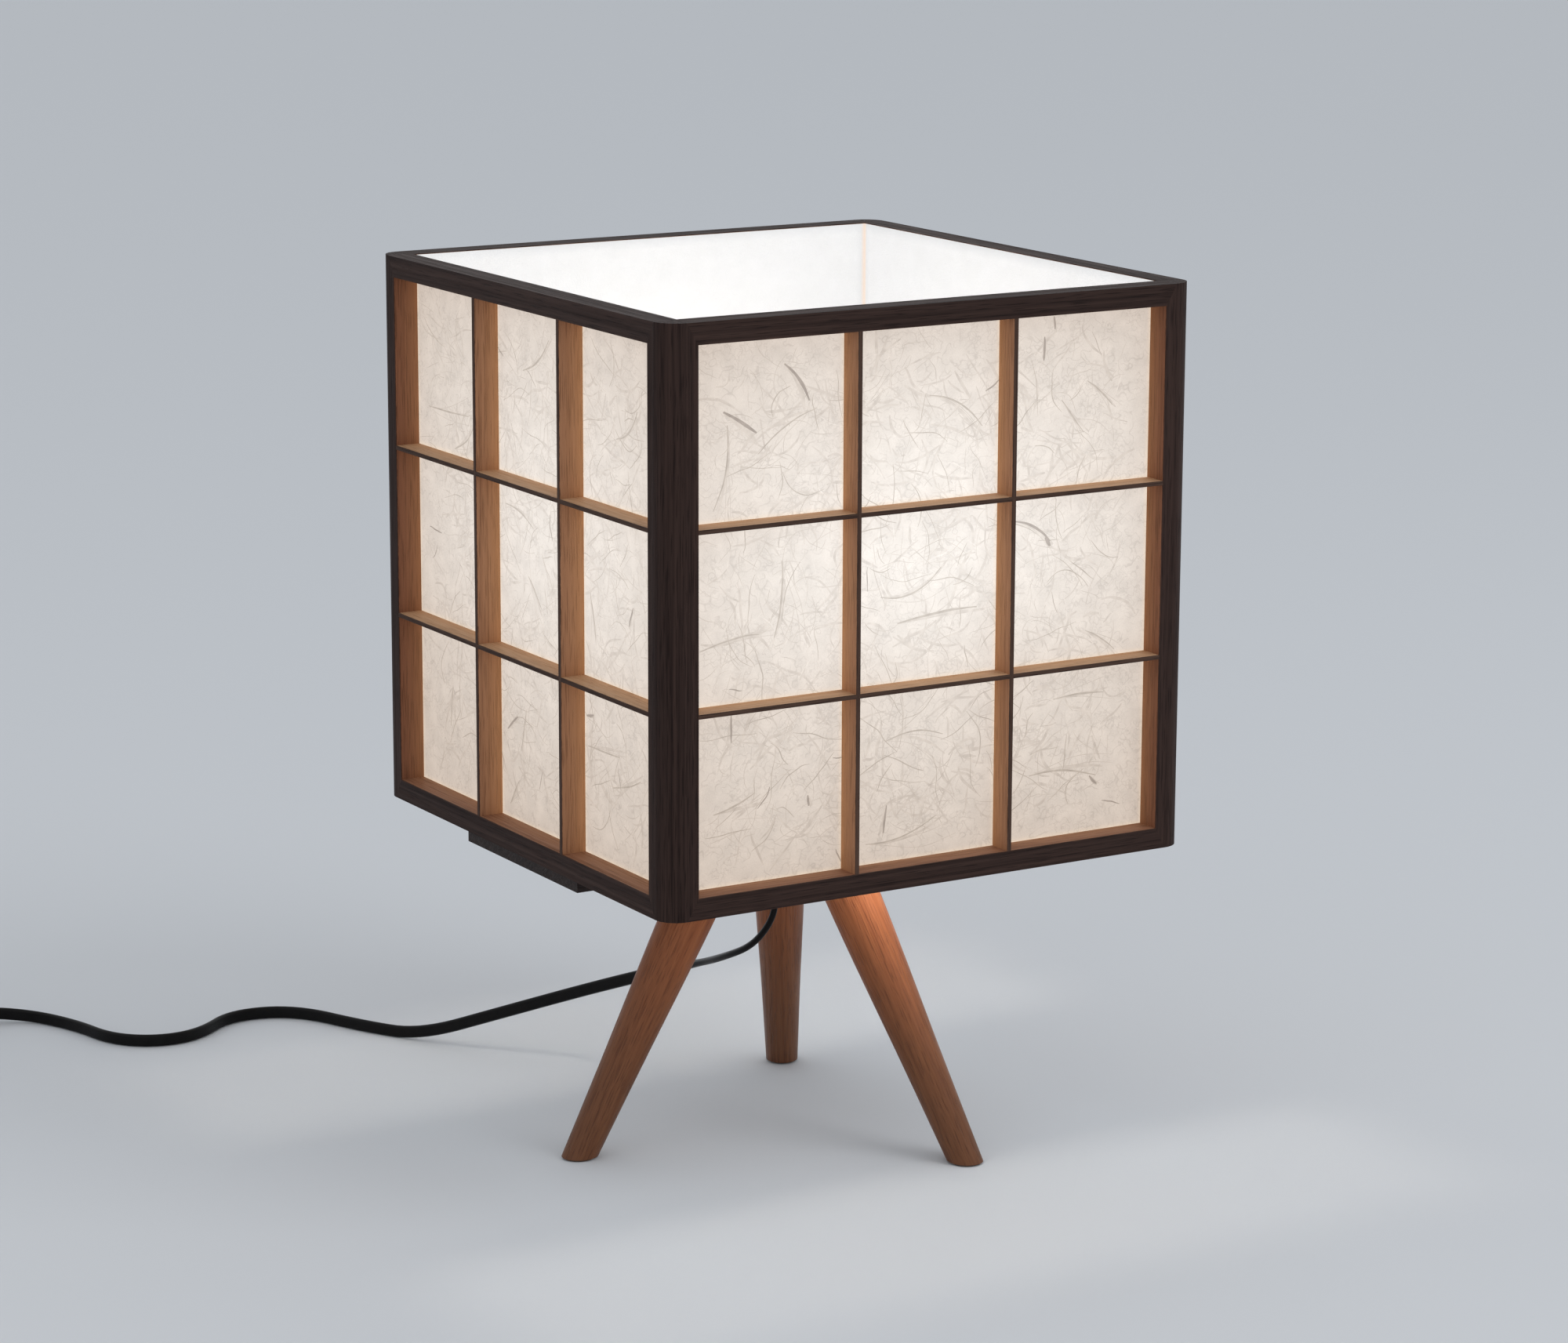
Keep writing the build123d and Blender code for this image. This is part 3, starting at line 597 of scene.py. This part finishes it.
def cockle(x, z, seed):
    """How far the sheet stands in from its plane: not at all where it is glued, a little between."""
    across = math.sin(math.pi * cells_across * (x / (2 * half_opening) + 0.5)) ** 2
    up = math.sin(math.pi * cells_across * ((z - shade_bottom) / (shade_top - shade_bottom))) ** 2
    swell = noise.noise(Vector((x * cockles_per_metre, z * cockles_per_metre, seed))) + 0.5
    return cockle_depth * min(across, up) * swell


def sheet_seed(side):
    """A place in the noise for each side, far enough apart to look unlike the others."""
    return list(SIDES).index(side) * 7.3


def lay_flat_sheet(seed):
    """A thin closed sheet at the front face, glued round its cells and slightly cockled between."""
    bm = bmesh.new()
    bmesh.ops.create_grid(bm, x_segments=48, y_segments=50, size=0.5)
    bmesh.ops.scale(bm, vec=(lining_width, sheet_height, 1), verts=bm.verts)
    bmesh.ops.rotate(bm, matrix=Matrix.Rotation(math.pi / 2, 3, "X"), verts=bm.verts)
    bmesh.ops.translate(bm, vec=sheet_middle, verts=bm.verts)
    for vert in bm.verts:
        vert.co.y += cockle(vert.co.x, vert.co.z, seed)
    bmesh.ops.solidify(bm, geom=list(bm.faces), thickness=sheet_thickness)
    bm.normal_update()
    for face in bm.faces:
        face.smooth = True
        face.material_index = 0 if face.normal.y < -0.5 else 1
    return bm


lining = [paper_outside(), paper_inside()]
for side, angle in SIDES.items():
    bm = lay_flat_sheet(sheet_seed(side))
    bm.transform(turned(angle))
    mesh = bpy.data.meshes.new(f"washi_{side}")
    bm.to_mesh(mesh)
    bm.free()
    washi = link_piece(f"washi_{side}", mesh, "lamp", lining)
    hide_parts(f"paper_{side}")

# ---------------------------------------------------------------- fibres in the paper

blade_section = ((-1, -0.03), (0, 0.05), (1, -0.03))
halo_length, halo_width = 1.1, 1.8  # the soft halo of a bold fibre, against the fibre itself
frayed_length, frayed_half_thick, frayed_spread = 1.25, 0.00014, 0.10
frayed_ends = 2
mats_per_metre = 55
bedding = 0.00003  # how far the fibres lie in the sheet


def blade_profile():
    """The section of a fibre: a low crown, one unit to each side."""
    profile = bpy.data.curves.new("blade", "CURVE")
    spline = profile.splines.new("POLY")
    spline.points.add(len(blade_section) - 1)
    for point, place in zip(spline.points, blade_section):
        point.co = (*place, 0, 1)
    return bpy.data.objects.new("blade", profile)


def strand(curve, start, heading, length, curl, half_thick, tone, wobble):
    """One fibre that wanders from its start, thin at both ends."""
    steps = 7
    spline = curve.splines.new("NURBS")
    spline.points.add(steps - 1)
    place = Vector(start)
    for index, point in enumerate(spline.points):
        taper = math.sin(math.pi * (index + 0.4) / steps)
        point.co = (place.x, place.y, fibre_lift[tone], 1)
        point.radius = half_thick * (0.25 + 0.75 * taper)
        heading += curl / steps + random.gauss(0, wobble)
        place += Vector((math.cos(heading), math.sin(heading))) * length / (steps - 1)
    spline.order_u = 3
    spline.use_endpoint_u = True
    spline.resolution_u = 2
    spline.material_index = tone


# count, length from and to, half thickness from and to, tone; millimetres
fibre_kinds = [
    (480, 7, 26, 0.35, 0.80, SOFT),
    (600, 5, 20, 0.10, 0.20, FINE),
    (130, 9, 30, 0.14, 0.28, COARSE),
    (160, 6, 24, 0.12, 0.24, PALE),
    (7, 6, 14, 0.24, 0.44, BARK),
]

# the boldest fibres of two sides, in millimetres from the sheet's middle and degrees:
# across, up, heading, length, curl, half thickness, tone
bold_fibres = {
    "front": [
        (-73, 110, -35, 22, -35, 0.80, BARK),
        (-104, 91, -30, 20, -22, 0.88, BARK),
        (-102, 85, -82, 39, -35, 0.36, COARSE),
        (-56, 89, 188, 36, 40, 0.34, COARSE),
        (3, 90, -2, 34, -55, 0.42, COARSE),
        (65, 112, -85, 11, -20, 0.58, BARK),
        (70, 121, -85, 6, 0, 0.51, BARK),
        (89, 90, -35, 19, -12, 0.39, COARSE),
        (75, 82, -50, 20, 5, 0.34, COARSE),
        (-74, 22, -78, 35, -32, 0.47, COARSE),
        (-116, -15, 22, 31, -22, 0.36, COARSE),
        (-22, 0, -22, 36, 85, 0.42, COARSE),
        (-13, -13, 8, 43, -8, 0.59, COARSE),
        (50, 28, -6, 23, -45, 0.64, BARK),
        (67, 19, -60, 5, 0, 0.96, BARK),
        (90, -27, -25, 20, -30, 0.36, COARSE),
        (-100, -45, -88, 13, -5, 0.51, BARK),
        (-109, -90, 8, 23, 15, 0.42, COARSE),
        (-60, -87, -80, 5, 0, 0.67, BARK),
        (-19, -67, 22, 32, -65, 0.36, COARSE),
        (-29, -114, -12, 40, 50, 0.36, COARSE),
        (-18, -97, -98, 13, -10, 0.58, BARK),
        (60, -93, 12, 38, -25, 0.47, COARSE),
        (94, -97, -50, 6, 0, 0.67, BARK),
        (73, -58, 10, 28, -25, 0.42, COARSE),
    ],
    "left": [
        (-113, 62, -4, 42, 6, 0.34, COARSE),
        (-86, 45, 18, 25, 35, 0.39, COARSE),
        (-16, 92, 5, 32, 60, 0.44, COARSE),
        (73, 73, 0, 26, 75, 0.49, COARSE),
        (-34, 27, 8, 29, -50, 0.44, COARSE),
        (-12, -4, -40, 19, -15, 0.42, COARSE),
        (48, -1, -75, 22, -5, 0.44, COARSE),
        (88, -1, -112, 10, 0, 0.58, BARK),
        (-91, -72, -103, 20, -8, 0.44, COARSE),
        (-34, -81, 38, 13, 0, 0.64, BARK),
        (-15, -68, -105, 22, 5, 0.39, COARSE),
        (45, -73, 6, 30, -10, 0.44, COARSE),
        (68, -88, 8, 28, 20, 0.39, COARSE),
        (-32, -117, 50, 15, 10, 0.49, COARSE),
        (44, -59, 12, 7, 0, 0.67, BARK),
    ],
}


def matted_place(margin, seed):
    """A random place on the sheet, oftener where its fibres lie matted."""
    while True:
        across = random.uniform(-sheet_width / 2 + margin, sheet_width / 2 - margin)
        up = random.uniform(-sheet_height / 2 + margin, sheet_height / 2 - margin)
        mat = noise.noise(Vector((across * mats_per_metre, up * mats_per_metre, seed + 3.1)))
        if mat > random.uniform(-0.75, 0.35):
            return across, up


def fibre_tangle(side, angle):
    """All the fibres of one sheet: the bold ones first, each with a soft halo and frayed ends."""
    random.seed(side)
    seed = sheet_seed(side)
    flat = bpy.data.curves.new(f"fibres_{side}", "CURVE")
    flat.dimensions = "3D"
    flat.twist_mode = "Z_UP"
    flat.bevel_mode = "OBJECT"
    flat.bevel_object = blade
    for tone in fibre_tones:
        flat.materials.append(tone)
    for across, up, heading, length, curl, half_thick, tone in bold_fibres.get(side, []):
        start, heading, curl = (across / 1000, up / 1000), math.radians(heading), math.radians(curl)
        length, half_thick = length / 1000, half_thick / 1000
        halo = (length * halo_length, curl, half_thick * halo_width)
        strand(flat, start, heading, *halo, SOFT, wobble=0.05)
        strand(flat, start, heading, length, curl, half_thick, tone, wobble=0.05)
        for _ in range(frayed_ends):
            frayed = heading + random.gauss(0, frayed_spread)
            end = (length * frayed_length, curl, frayed_half_thick)
            strand(flat, start, frayed, *end, FINE, wobble=0.10)
    for count, short, long, thin, thick, tone in fibre_kinds:
        for _ in range(count):
            strand(
                flat,
                matted_place(long / 1000, seed),
                random.uniform(0, 2 * math.pi),
                random.uniform(short, long) / 1000,
                random.gauss(0, 0.7),
                random.uniform(thin, thick) / 1000,
                tone,
                wobble=0.2,
            )
    mesh = made_mesh(flat)
    bm = bmesh.new()
    bm.from_mesh(mesh)
    bmesh.ops.rotate(bm, matrix=Matrix.Rotation(math.pi / 2, 3, "X"), verts=bm.verts)
    bmesh.ops.translate(bm, vec=sheet_middle, verts=bm.verts)
    for vert in bm.verts:
        vert.co.y += cockle(vert.co.x, vert.co.z, seed) - bedding
    bm.normal_update()
    for face in bm.faces:
        face.smooth = True
        if face.normal.y > 0:
            face.normal_flip()
    bm.transform(turned(angle))
    bm.to_mesh(mesh)
    bm.free()
    link_piece(f"fibres_{side}", mesh, "lamp", [])


blade = blade_profile()
for side, angle in SIDES.items():
    fibre_tangle(side, angle)

# ---------------------------------------------------------------- cord

cord_width = 0.0063
core_radius = 0.0016
waist_share = 0.62  # how thick the joint between the two cores is, against a core
floor_rest = 0.0033
switch_height = 0.007

# the route from the grip: down, over to the back, along the floor and through the switch
free_route = [
    (0, 0, 0.1223),
    (0, 0, 0.111),
    (-0.002, 0.004, 0.100),
    (-0.006, 0.014, 0.088),
    (-0.009, 0.035, 0.078),
    (-0.005, 0.062, 0.068),
    (-0.009, 0.095, 0.056),
    (-0.028, 0.134, 0.040),
    (-0.061, 0.174, 0.021),
    (-0.088, 0.212, floor_rest),
    (-0.106, 0.240, floor_rest),
    (-0.125, 0.285, floor_rest),
    (-0.159, 0.294, floor_rest),
    (-0.186, 0.271, floor_rest),
    (-0.210, 0.270, floor_rest),
    (-0.229, 0.286, floor_rest),
    (-0.235, 0.317, floor_rest),
    (-0.249, 0.347, floor_rest),
    (-0.277, 0.356, switch_height),
    (-0.333, 0.356, switch_height),
    (-0.360, 0.356, floor_rest),
]
plug_route = [(-0.4096, 0.299, 0.0097), (-0.4096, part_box("plug_body")[1].y, 0.0095)]

coil_middle = Vector((-0.366, 0.3124, 0))
outer_turn = 0.0436
inner_turn = 0.0304
layer_rise = 0.0066
coil_turns = 5.25
inward_turns = 2.75
climb_lead, climb_turns = 0.35, 0.5  # where the climb to the upper layer starts, and how long it is
points_per_turn = 16


def coil_route():
    """Turns that wind inwards on the floor and back outwards on top, ending towards the plug."""
    places = []
    for index in range(1, round(coil_turns * points_per_turn) + 1):
        turns = index / points_per_turn
        if turns <= inward_turns:
            share = turns / inward_turns
        else:
            share = (coil_turns - turns) / (coil_turns - inward_turns)
        radius = outer_turn + (inner_turn - outer_turn) * share
        rise = min(max((turns - inward_turns + climb_lead) / climb_turns, 0.0), 1.0)
        angle = math.pi / 2 + 2 * math.pi * turns
        place = coil_middle + Vector((math.cos(angle), math.sin(angle), 0)) * radius
        place.z = floor_rest + layer_rise * rise
        places.append(tuple(place))
    return places


def smooth_line(name, route):
    """The places along the smooth line whose control points are the route."""
    curve = bpy.data.curves.new(name, "CURVE")
    curve.dimensions = "3D"
    curve.resolution_u = 8
    spline = curve.splines.new("NURBS")
    spline.points.add(len(route) - 1)
    for point, place in zip(spline.points, route):
        point.co = (*place, 1)
    spline.order_u = 3
    spline.use_endpoint_u = True
    return [vert.co.copy() for vert in made_mesh(curve).vertices]


cord_line = smooth_line("cord_line", free_route + coil_route() + plug_route)
first_width = Vector((0.503, 0.837, -0.217))  # the way that the flex's width points at the grip


def flex_ring(bm):
    """The section of a flat twin flex: two round cores side by side, joined in a shallow waist."""
    ring = bmesh.ops.create_circle(bm, cap_ends=False, segments=24, radius=core_radius)["verts"]
    shift = cord_width / 2 - core_radius
    for vert in ring:
        side = math.copysign(1, vert.co.x)
        if abs(vert.co.x) < core_radius * 0.2:
            vert.co.y *= waist_share
        else:
            vert.co.x += side * shift
    return ring


def standing(place, tangent, share):
    """The frame of the flex there: its width lies as it starts at share 0 and stands upright at 1."""
    width = first_width.lerp(DIRECTIONS["z"], share)
    width = (width - tangent * width.dot(tangent)).normalized()
    turn = Matrix((width, tangent.cross(width), tangent)).transposed().to_4x4()
    return Matrix.Translation(place) @ turn


def flex(name, line, turn_from, turn_to):
    """Sweeps the flex's section along a line, with a slow quarter turn between two lengths."""
    bm = bmesh.new()
    ring = flex_ring(bm)
    edges = list(bm.edges)
    before = Matrix.Identity(4)
    gone = 0.0
    for index, place in enumerate(line):
        ahead = line[min(index + 1, len(line) - 1)] - line[max(index - 1, 0)]
        if index:
            gone += (place - line[index - 1]).length
            new = bmesh.ops.extrude_edge_only(bm, edges=edges)["geom"]
            ring = [item for item in new if isinstance(item, bmesh.types.BMVert)]
            found = [item for item in new if isinstance(item, bmesh.types.BMEdge)]
            edges = [edge for edge in found if all(vert in ring for vert in edge.verts)]
        share = min(max((gone - turn_from) / (turn_to - turn_from), 0.0), 1.0)
        here = standing(place, ahead.normalized(), share * share * (3 - 2 * share))
        bmesh.ops.transform(bm, matrix=here @ before.inverted(), verts=ring)
        before = here
    bmesh.ops.holes_fill(bm, edges=[edge for edge in bm.edges if edge.is_boundary])
    bmesh.ops.recalc_face_normals(bm, faces=bm.faces)
    for face in bm.faces:
        face.smooth = len(face.verts) == 4
    mesh = bpy.data.meshes.new(name)
    bm.to_mesh(mesh)
    bm.free()
    return mesh


def moulded(name, tone, roughness, gloss=0.5):
    """Moulded plastic: nearly one colour, with faint blotches, scuffs and orange peel."""
    material, tree, shader, place = new_material(name)
    found = use_group(tree, marks, {"Vector": place, "Size": 0.004})
    lighter = tuple(min(1.0, value * 1.7 + 0.002) for value in tone[:3]) + (1.0,)
    share = math_node(tree, "MULTIPLY", found["Blotches"], 0.6)
    tree.links.new(mix_colours(tree, share, tone, lighter), shader.inputs["Base Color"])
    rough = ramp(tree, found["Specks"], 0, 1, roughness - 0.05, roughness + 0.08)
    tree.links.new(rough, shader.inputs["Roughness"])
    shader.inputs["Specular IOR Level"].default_value = gloss
    raise_grain(tree, shader, found["Specks"], 0.00002)
    return material


cord_vinyl = moulded("cord_vinyl", (0.002, 0.0016, 0.0016, 1), 0.33, gloss=0.15)
flex_mesh = flex("mains_flex", cord_line, turn_from=0.088, turn_to=0.155)
mains_flex = link_piece("mains_flex", flex_mesh, "lamp", [cord_vinyl])
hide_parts("cord_lead", "cord_coil")

# ---------------------------------------------------------------- foot pads


def felt(name, tone):
    """Wool felt, with painted shade darkening its hollows."""
    material, tree, shader, place = new_material(name)
    fuzz = stretched_noise(tree, place, (2500, 2500, 2500), detail=3.0, roughness=0.8)
    # Painted shade: the felt is half as light where its fuzz sinks into hollows.
    lit_hair_share = ramp(tree, fuzz, 0.3, 0.7)
    tree.links.new(mix_colours(tree, lit_hair_share, times(tone, 0.5), tone), shader.inputs["Base Color"])
    shader.inputs["Roughness"].default_value = 0.95
    raise_grain(tree, shader, fuzz, 0.0002)
    return material


pad_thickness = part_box("foot_pads")[1].z
pad_radius = 0.007
pad_reach = 0.107
rim_rounding = 0.00022
face_inset = 0.0022
dents_per_metre, dent_depth = 900, 0.00012
first_leg_angle = 177.4


def felt_pads():
    """Three cut felt discs: soft rims, slightly dented faces and uneven edges."""
    bm = bmesh.new()
    for number in range(3):
        ring = bmesh.ops.create_circle(bm, cap_ends=True, segments=40, radius=pad_radius)["verts"]
        face = ring[0].link_faces[0]
        grown = bmesh.ops.extrude_face_region(bm, geom=[face])["geom"]
        top = [item for item in grown if isinstance(item, bmesh.types.BMVert)]
        bmesh.ops.translate(bm, vec=(0, 0, pad_thickness), verts=top)
        rims = [edge for edge in bm.edges if all(vert in ring or vert in top for vert in edge.verts)]
        level = [edge for edge in rims if abs(edge.verts[0].co.z - edge.verts[1].co.z) < 1e-6]
        disc = set(ring + top)
        bevelled = bmesh.ops.bevel(
            bm,
            geom=level,
            offset=rim_rounding,
            segments=3,
            profile=0.5,
            affect="EDGES",
            material=-1,
        )
        disc |= set(bevelled["verts"])
        disc = [vert for vert in disc if vert.is_valid]
        faces = {face for vert in disc for face in vert.link_faces if len(face.verts) > 20}
        for face in faces:
            inner = bmesh.ops.inset_individual(bm, faces=[face], thickness=face_inset)["faces"]
            disc += [vert for side in inner for vert in side.verts]
            disc += list(face.verts)
        disc = list(set(disc))
        for vert in disc:
            away = Vector((vert.co.x, vert.co.y, 0))
            push = noise.noise(vert.co * dents_per_metre + Vector((number, 0, 0))) * dent_depth
            vert.co -= away.normalized() * abs(push) if away.length > 0 else Vector()
        under_leg = turned(first_leg_angle + 120 * number) @ Matrix.Translation((pad_reach, 0, 0))
        bmesh.ops.transform(bm, matrix=under_leg, verts=disc)
    bmesh.ops.recalc_face_normals(bm, faces=bm.faces)
    for face in bm.faces:
        face.smooth = len(face.verts) == 4
    mesh = bpy.data.meshes.new("felt_pads")
    bm.to_mesh(mesh)
    bm.free()
    return mesh


brown_felt = felt("brown_felt", (0.16, 0.10, 0.07, 1))
pads = link_piece("felt_pads", felt_pads(), "lamp", [brown_felt])
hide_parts("foot_pads")

# ---------------------------------------------------------------- plastics, metals and glass


def metal(name, tone, roughness):
    """Bright metal with fine handling marks."""
    material, tree, shader, place = new_material(name)
    scratches = stretched_noise(tree, place, (900, 900, 900), detail=3.0, roughness=0.7)
    share = ramp(tree, scratches, 0.35, 0.7)
    tree.links.new(mix_colours(tree, share, tone, times(tone, 0.72)), shader.inputs["Base Color"])
    rough = ramp(tree, scratches, 0.3, 0.7, roughness - 0.06, roughness + 0.1)
    tree.links.new(rough, shader.inputs["Roughness"])
    shader.inputs["Metallic"].default_value = 1.0
    return material


bulb_glow = 26.0


def glowing_glass(name):
    """White frosted glass, lit from within."""
    material, tree, shader, place = new_material(name)
    found = use_group(tree, marks, {"Vector": place, "Size": 0.02})
    glow = mix_colours(tree, found["Blotches"], (1.0, 0.93, 0.82, 1), (1.0, 0.90, 0.77, 1))
    tree.links.new(glow, shader.inputs["Emission Color"])
    shader.inputs["Emission Strength"].default_value = bulb_glow
    shader.inputs["Base Color"].default_value = (0.8, 0.78, 0.74, 1)
    shader.inputs["Roughness"].default_value = 0.4
    return material


plated = metal("nickel_plate", (0.66, 0.64, 0.60, 1), 0.3)
zinc = metal("zinc_plate", (0.60, 0.60, 0.57, 1), 0.38)
brass = metal("pressed_brass", (0.72, 0.52, 0.22, 1), 0.32)
cap_metal = metal("bulb_cap_metal", (0.72, 0.72, 0.70, 1), 0.3)
phenolic = moulded("brown_black_phenolic", (0.012, 0.009, 0.008, 1), 0.3)
nylon = moulded("black_nylon", (0.010, 0.010, 0.010, 1), 0.5)
switch_plastic = moulded("black_switch_plastic", (0.009, 0.009, 0.010, 1), 0.34)
porcelain = moulded("glazed_porcelain", (0.72, 0.70, 0.64, 1), 0.2)

finishes = {
    "plank_screws": zinc,
    "leg_screws": zinc,
    "switch_screws": zinc,
    "stem_tube": plated,
    "stem_nuts": plated,
    "cord_grip": nylon,
    "flex_in_stem": cord_vinyl,
    "holder_base": phenolic,
    "holder_shell": phenolic,
    "holder_insert": porcelain,
    "holder_screw_shell": brass,
    "holder_contact": brass,
    "bulb_globe": glowing_glass("frosted_glass"),
    "bulb_cap": cap_metal,
    "bulb_insulator": phenolic,
    "bulb_contact": brass,
    "switch_lower": switch_plastic,
    "switch_upper": switch_plastic,
    "switch_rocker": switch_plastic,
    "plug_body": cord_vinyl,
    "plug_blades": plated,
}
for node, material in finishes.items():
    finish_node(node, material)

# ---------------------------------------------------------------- floor, light

floor_radius = 25.0
spill_power = 0.38
spill_cone = math.radians(95)
spill_softness = 0.02
spill_place = (0.105, 0.185)  # out from the axis and up from the floor
spill_aim = (0.064, 0.112)


def make_floor():
    """A pale floor that is seen only from above."""
    bm = bmesh.new()
    bmesh.ops.create_circle(bm, cap_ends=True, segments=64, radius=floor_radius)
    mesh = bpy.data.meshes.new("floor")
    bm.to_mesh(mesh)
    bm.free()
    floor = bpy.data.objects.new("floor", mesh)
    bpy.context.scene.collection.objects.link(floor)
    material, tree, shader, _ = new_material("pale_floor")
    shader.inputs["Base Color"].default_value = (0.66, 0.68, 0.71, 1)
    shader.inputs["Roughness"].default_value = 0.9
    shader.inputs["Specular IOR Level"].default_value = 0.1
    clear = add(tree, "ShaderNodeBsdfTransparent").outputs[0]
    behind = add(tree, "ShaderNodeNewGeometry").outputs["Backfacing"]
    mixed = add(tree, "ShaderNodeMixShader", {0: behind, 1: shader.outputs[0], 2: clear})
    tree.links.new(mixed.outputs[0], tree.nodes["Material Output"].inputs["Surface"])
    mesh.materials.append(material)


def make_world():
    world = bpy.data.worlds.new("studio")
    world.use_nodes = True
    sky = world.node_tree.nodes["Background"]
    sky.inputs["Color"].default_value = (0.94, 0.97, 1.0, 1)
    sky.inputs["Strength"].default_value = 0.72
    bpy.context.scene.world = world


def hang_lamp(light, place, aim):
    """Hangs a light at a place, turned towards its aim."""
    lamp = bpy.data.objects.new(light.name, light)
    bpy.context.scene.collection.objects.link(lamp)
    lamp.location = place
    lamp.rotation_euler = (Vector(aim) - Vector(place)).to_track_quat("-Z", "Y").to_euler()
    return lamp


def make_soft_light(name, place, size, power):
    light = bpy.data.lights.new(name, "AREA")
    light.shape = "DISK"
    light.size = size
    light.energy = power
    hang_lamp(light, place, aim=(0, 0, 0.25))


def make_spill(leg):
    """Light that the lining's lit inside throws down past the plank on to the outer side of a leg.
    It falls on the legs alone, so the floor keeps its even light."""
    low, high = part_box(f"leg_{leg}")
    middle = (low + high) / 2
    outward = Vector((middle.x, middle.y, 0)).normalized()
    light = bpy.data.lights.new(f"spill_{leg}", "SPOT")
    light.energy = spill_power
    light.spot_size = spill_cone
    light.spot_blend = 1.0
    light.shadow_soft_size = spill_softness
    place, aim = (outward * out + DIRECTIONS["z"] * up for out, up in (spill_place, spill_aim))
    lamp = hang_lamp(light, place, aim)
    lit = bpy.data.collections.new(f"lit_by_spill_{leg}")
    for name in LEGS:
        lit.objects.link(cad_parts[f"leg_{name}"])
    lamp.light_linking.receiver_collection = lit


make_floor()
make_world()
make_soft_light("key", place=(1.3, -2.2, 2.3), size=1.8, power=22)
make_soft_light("fill", place=(-2.2, -0.6, 1.8), size=2.0, power=2.5)
for leg in ("front", "back"):
    make_spill(leg)

bpy.context.scene.view_settings.view_transform = "Standard"
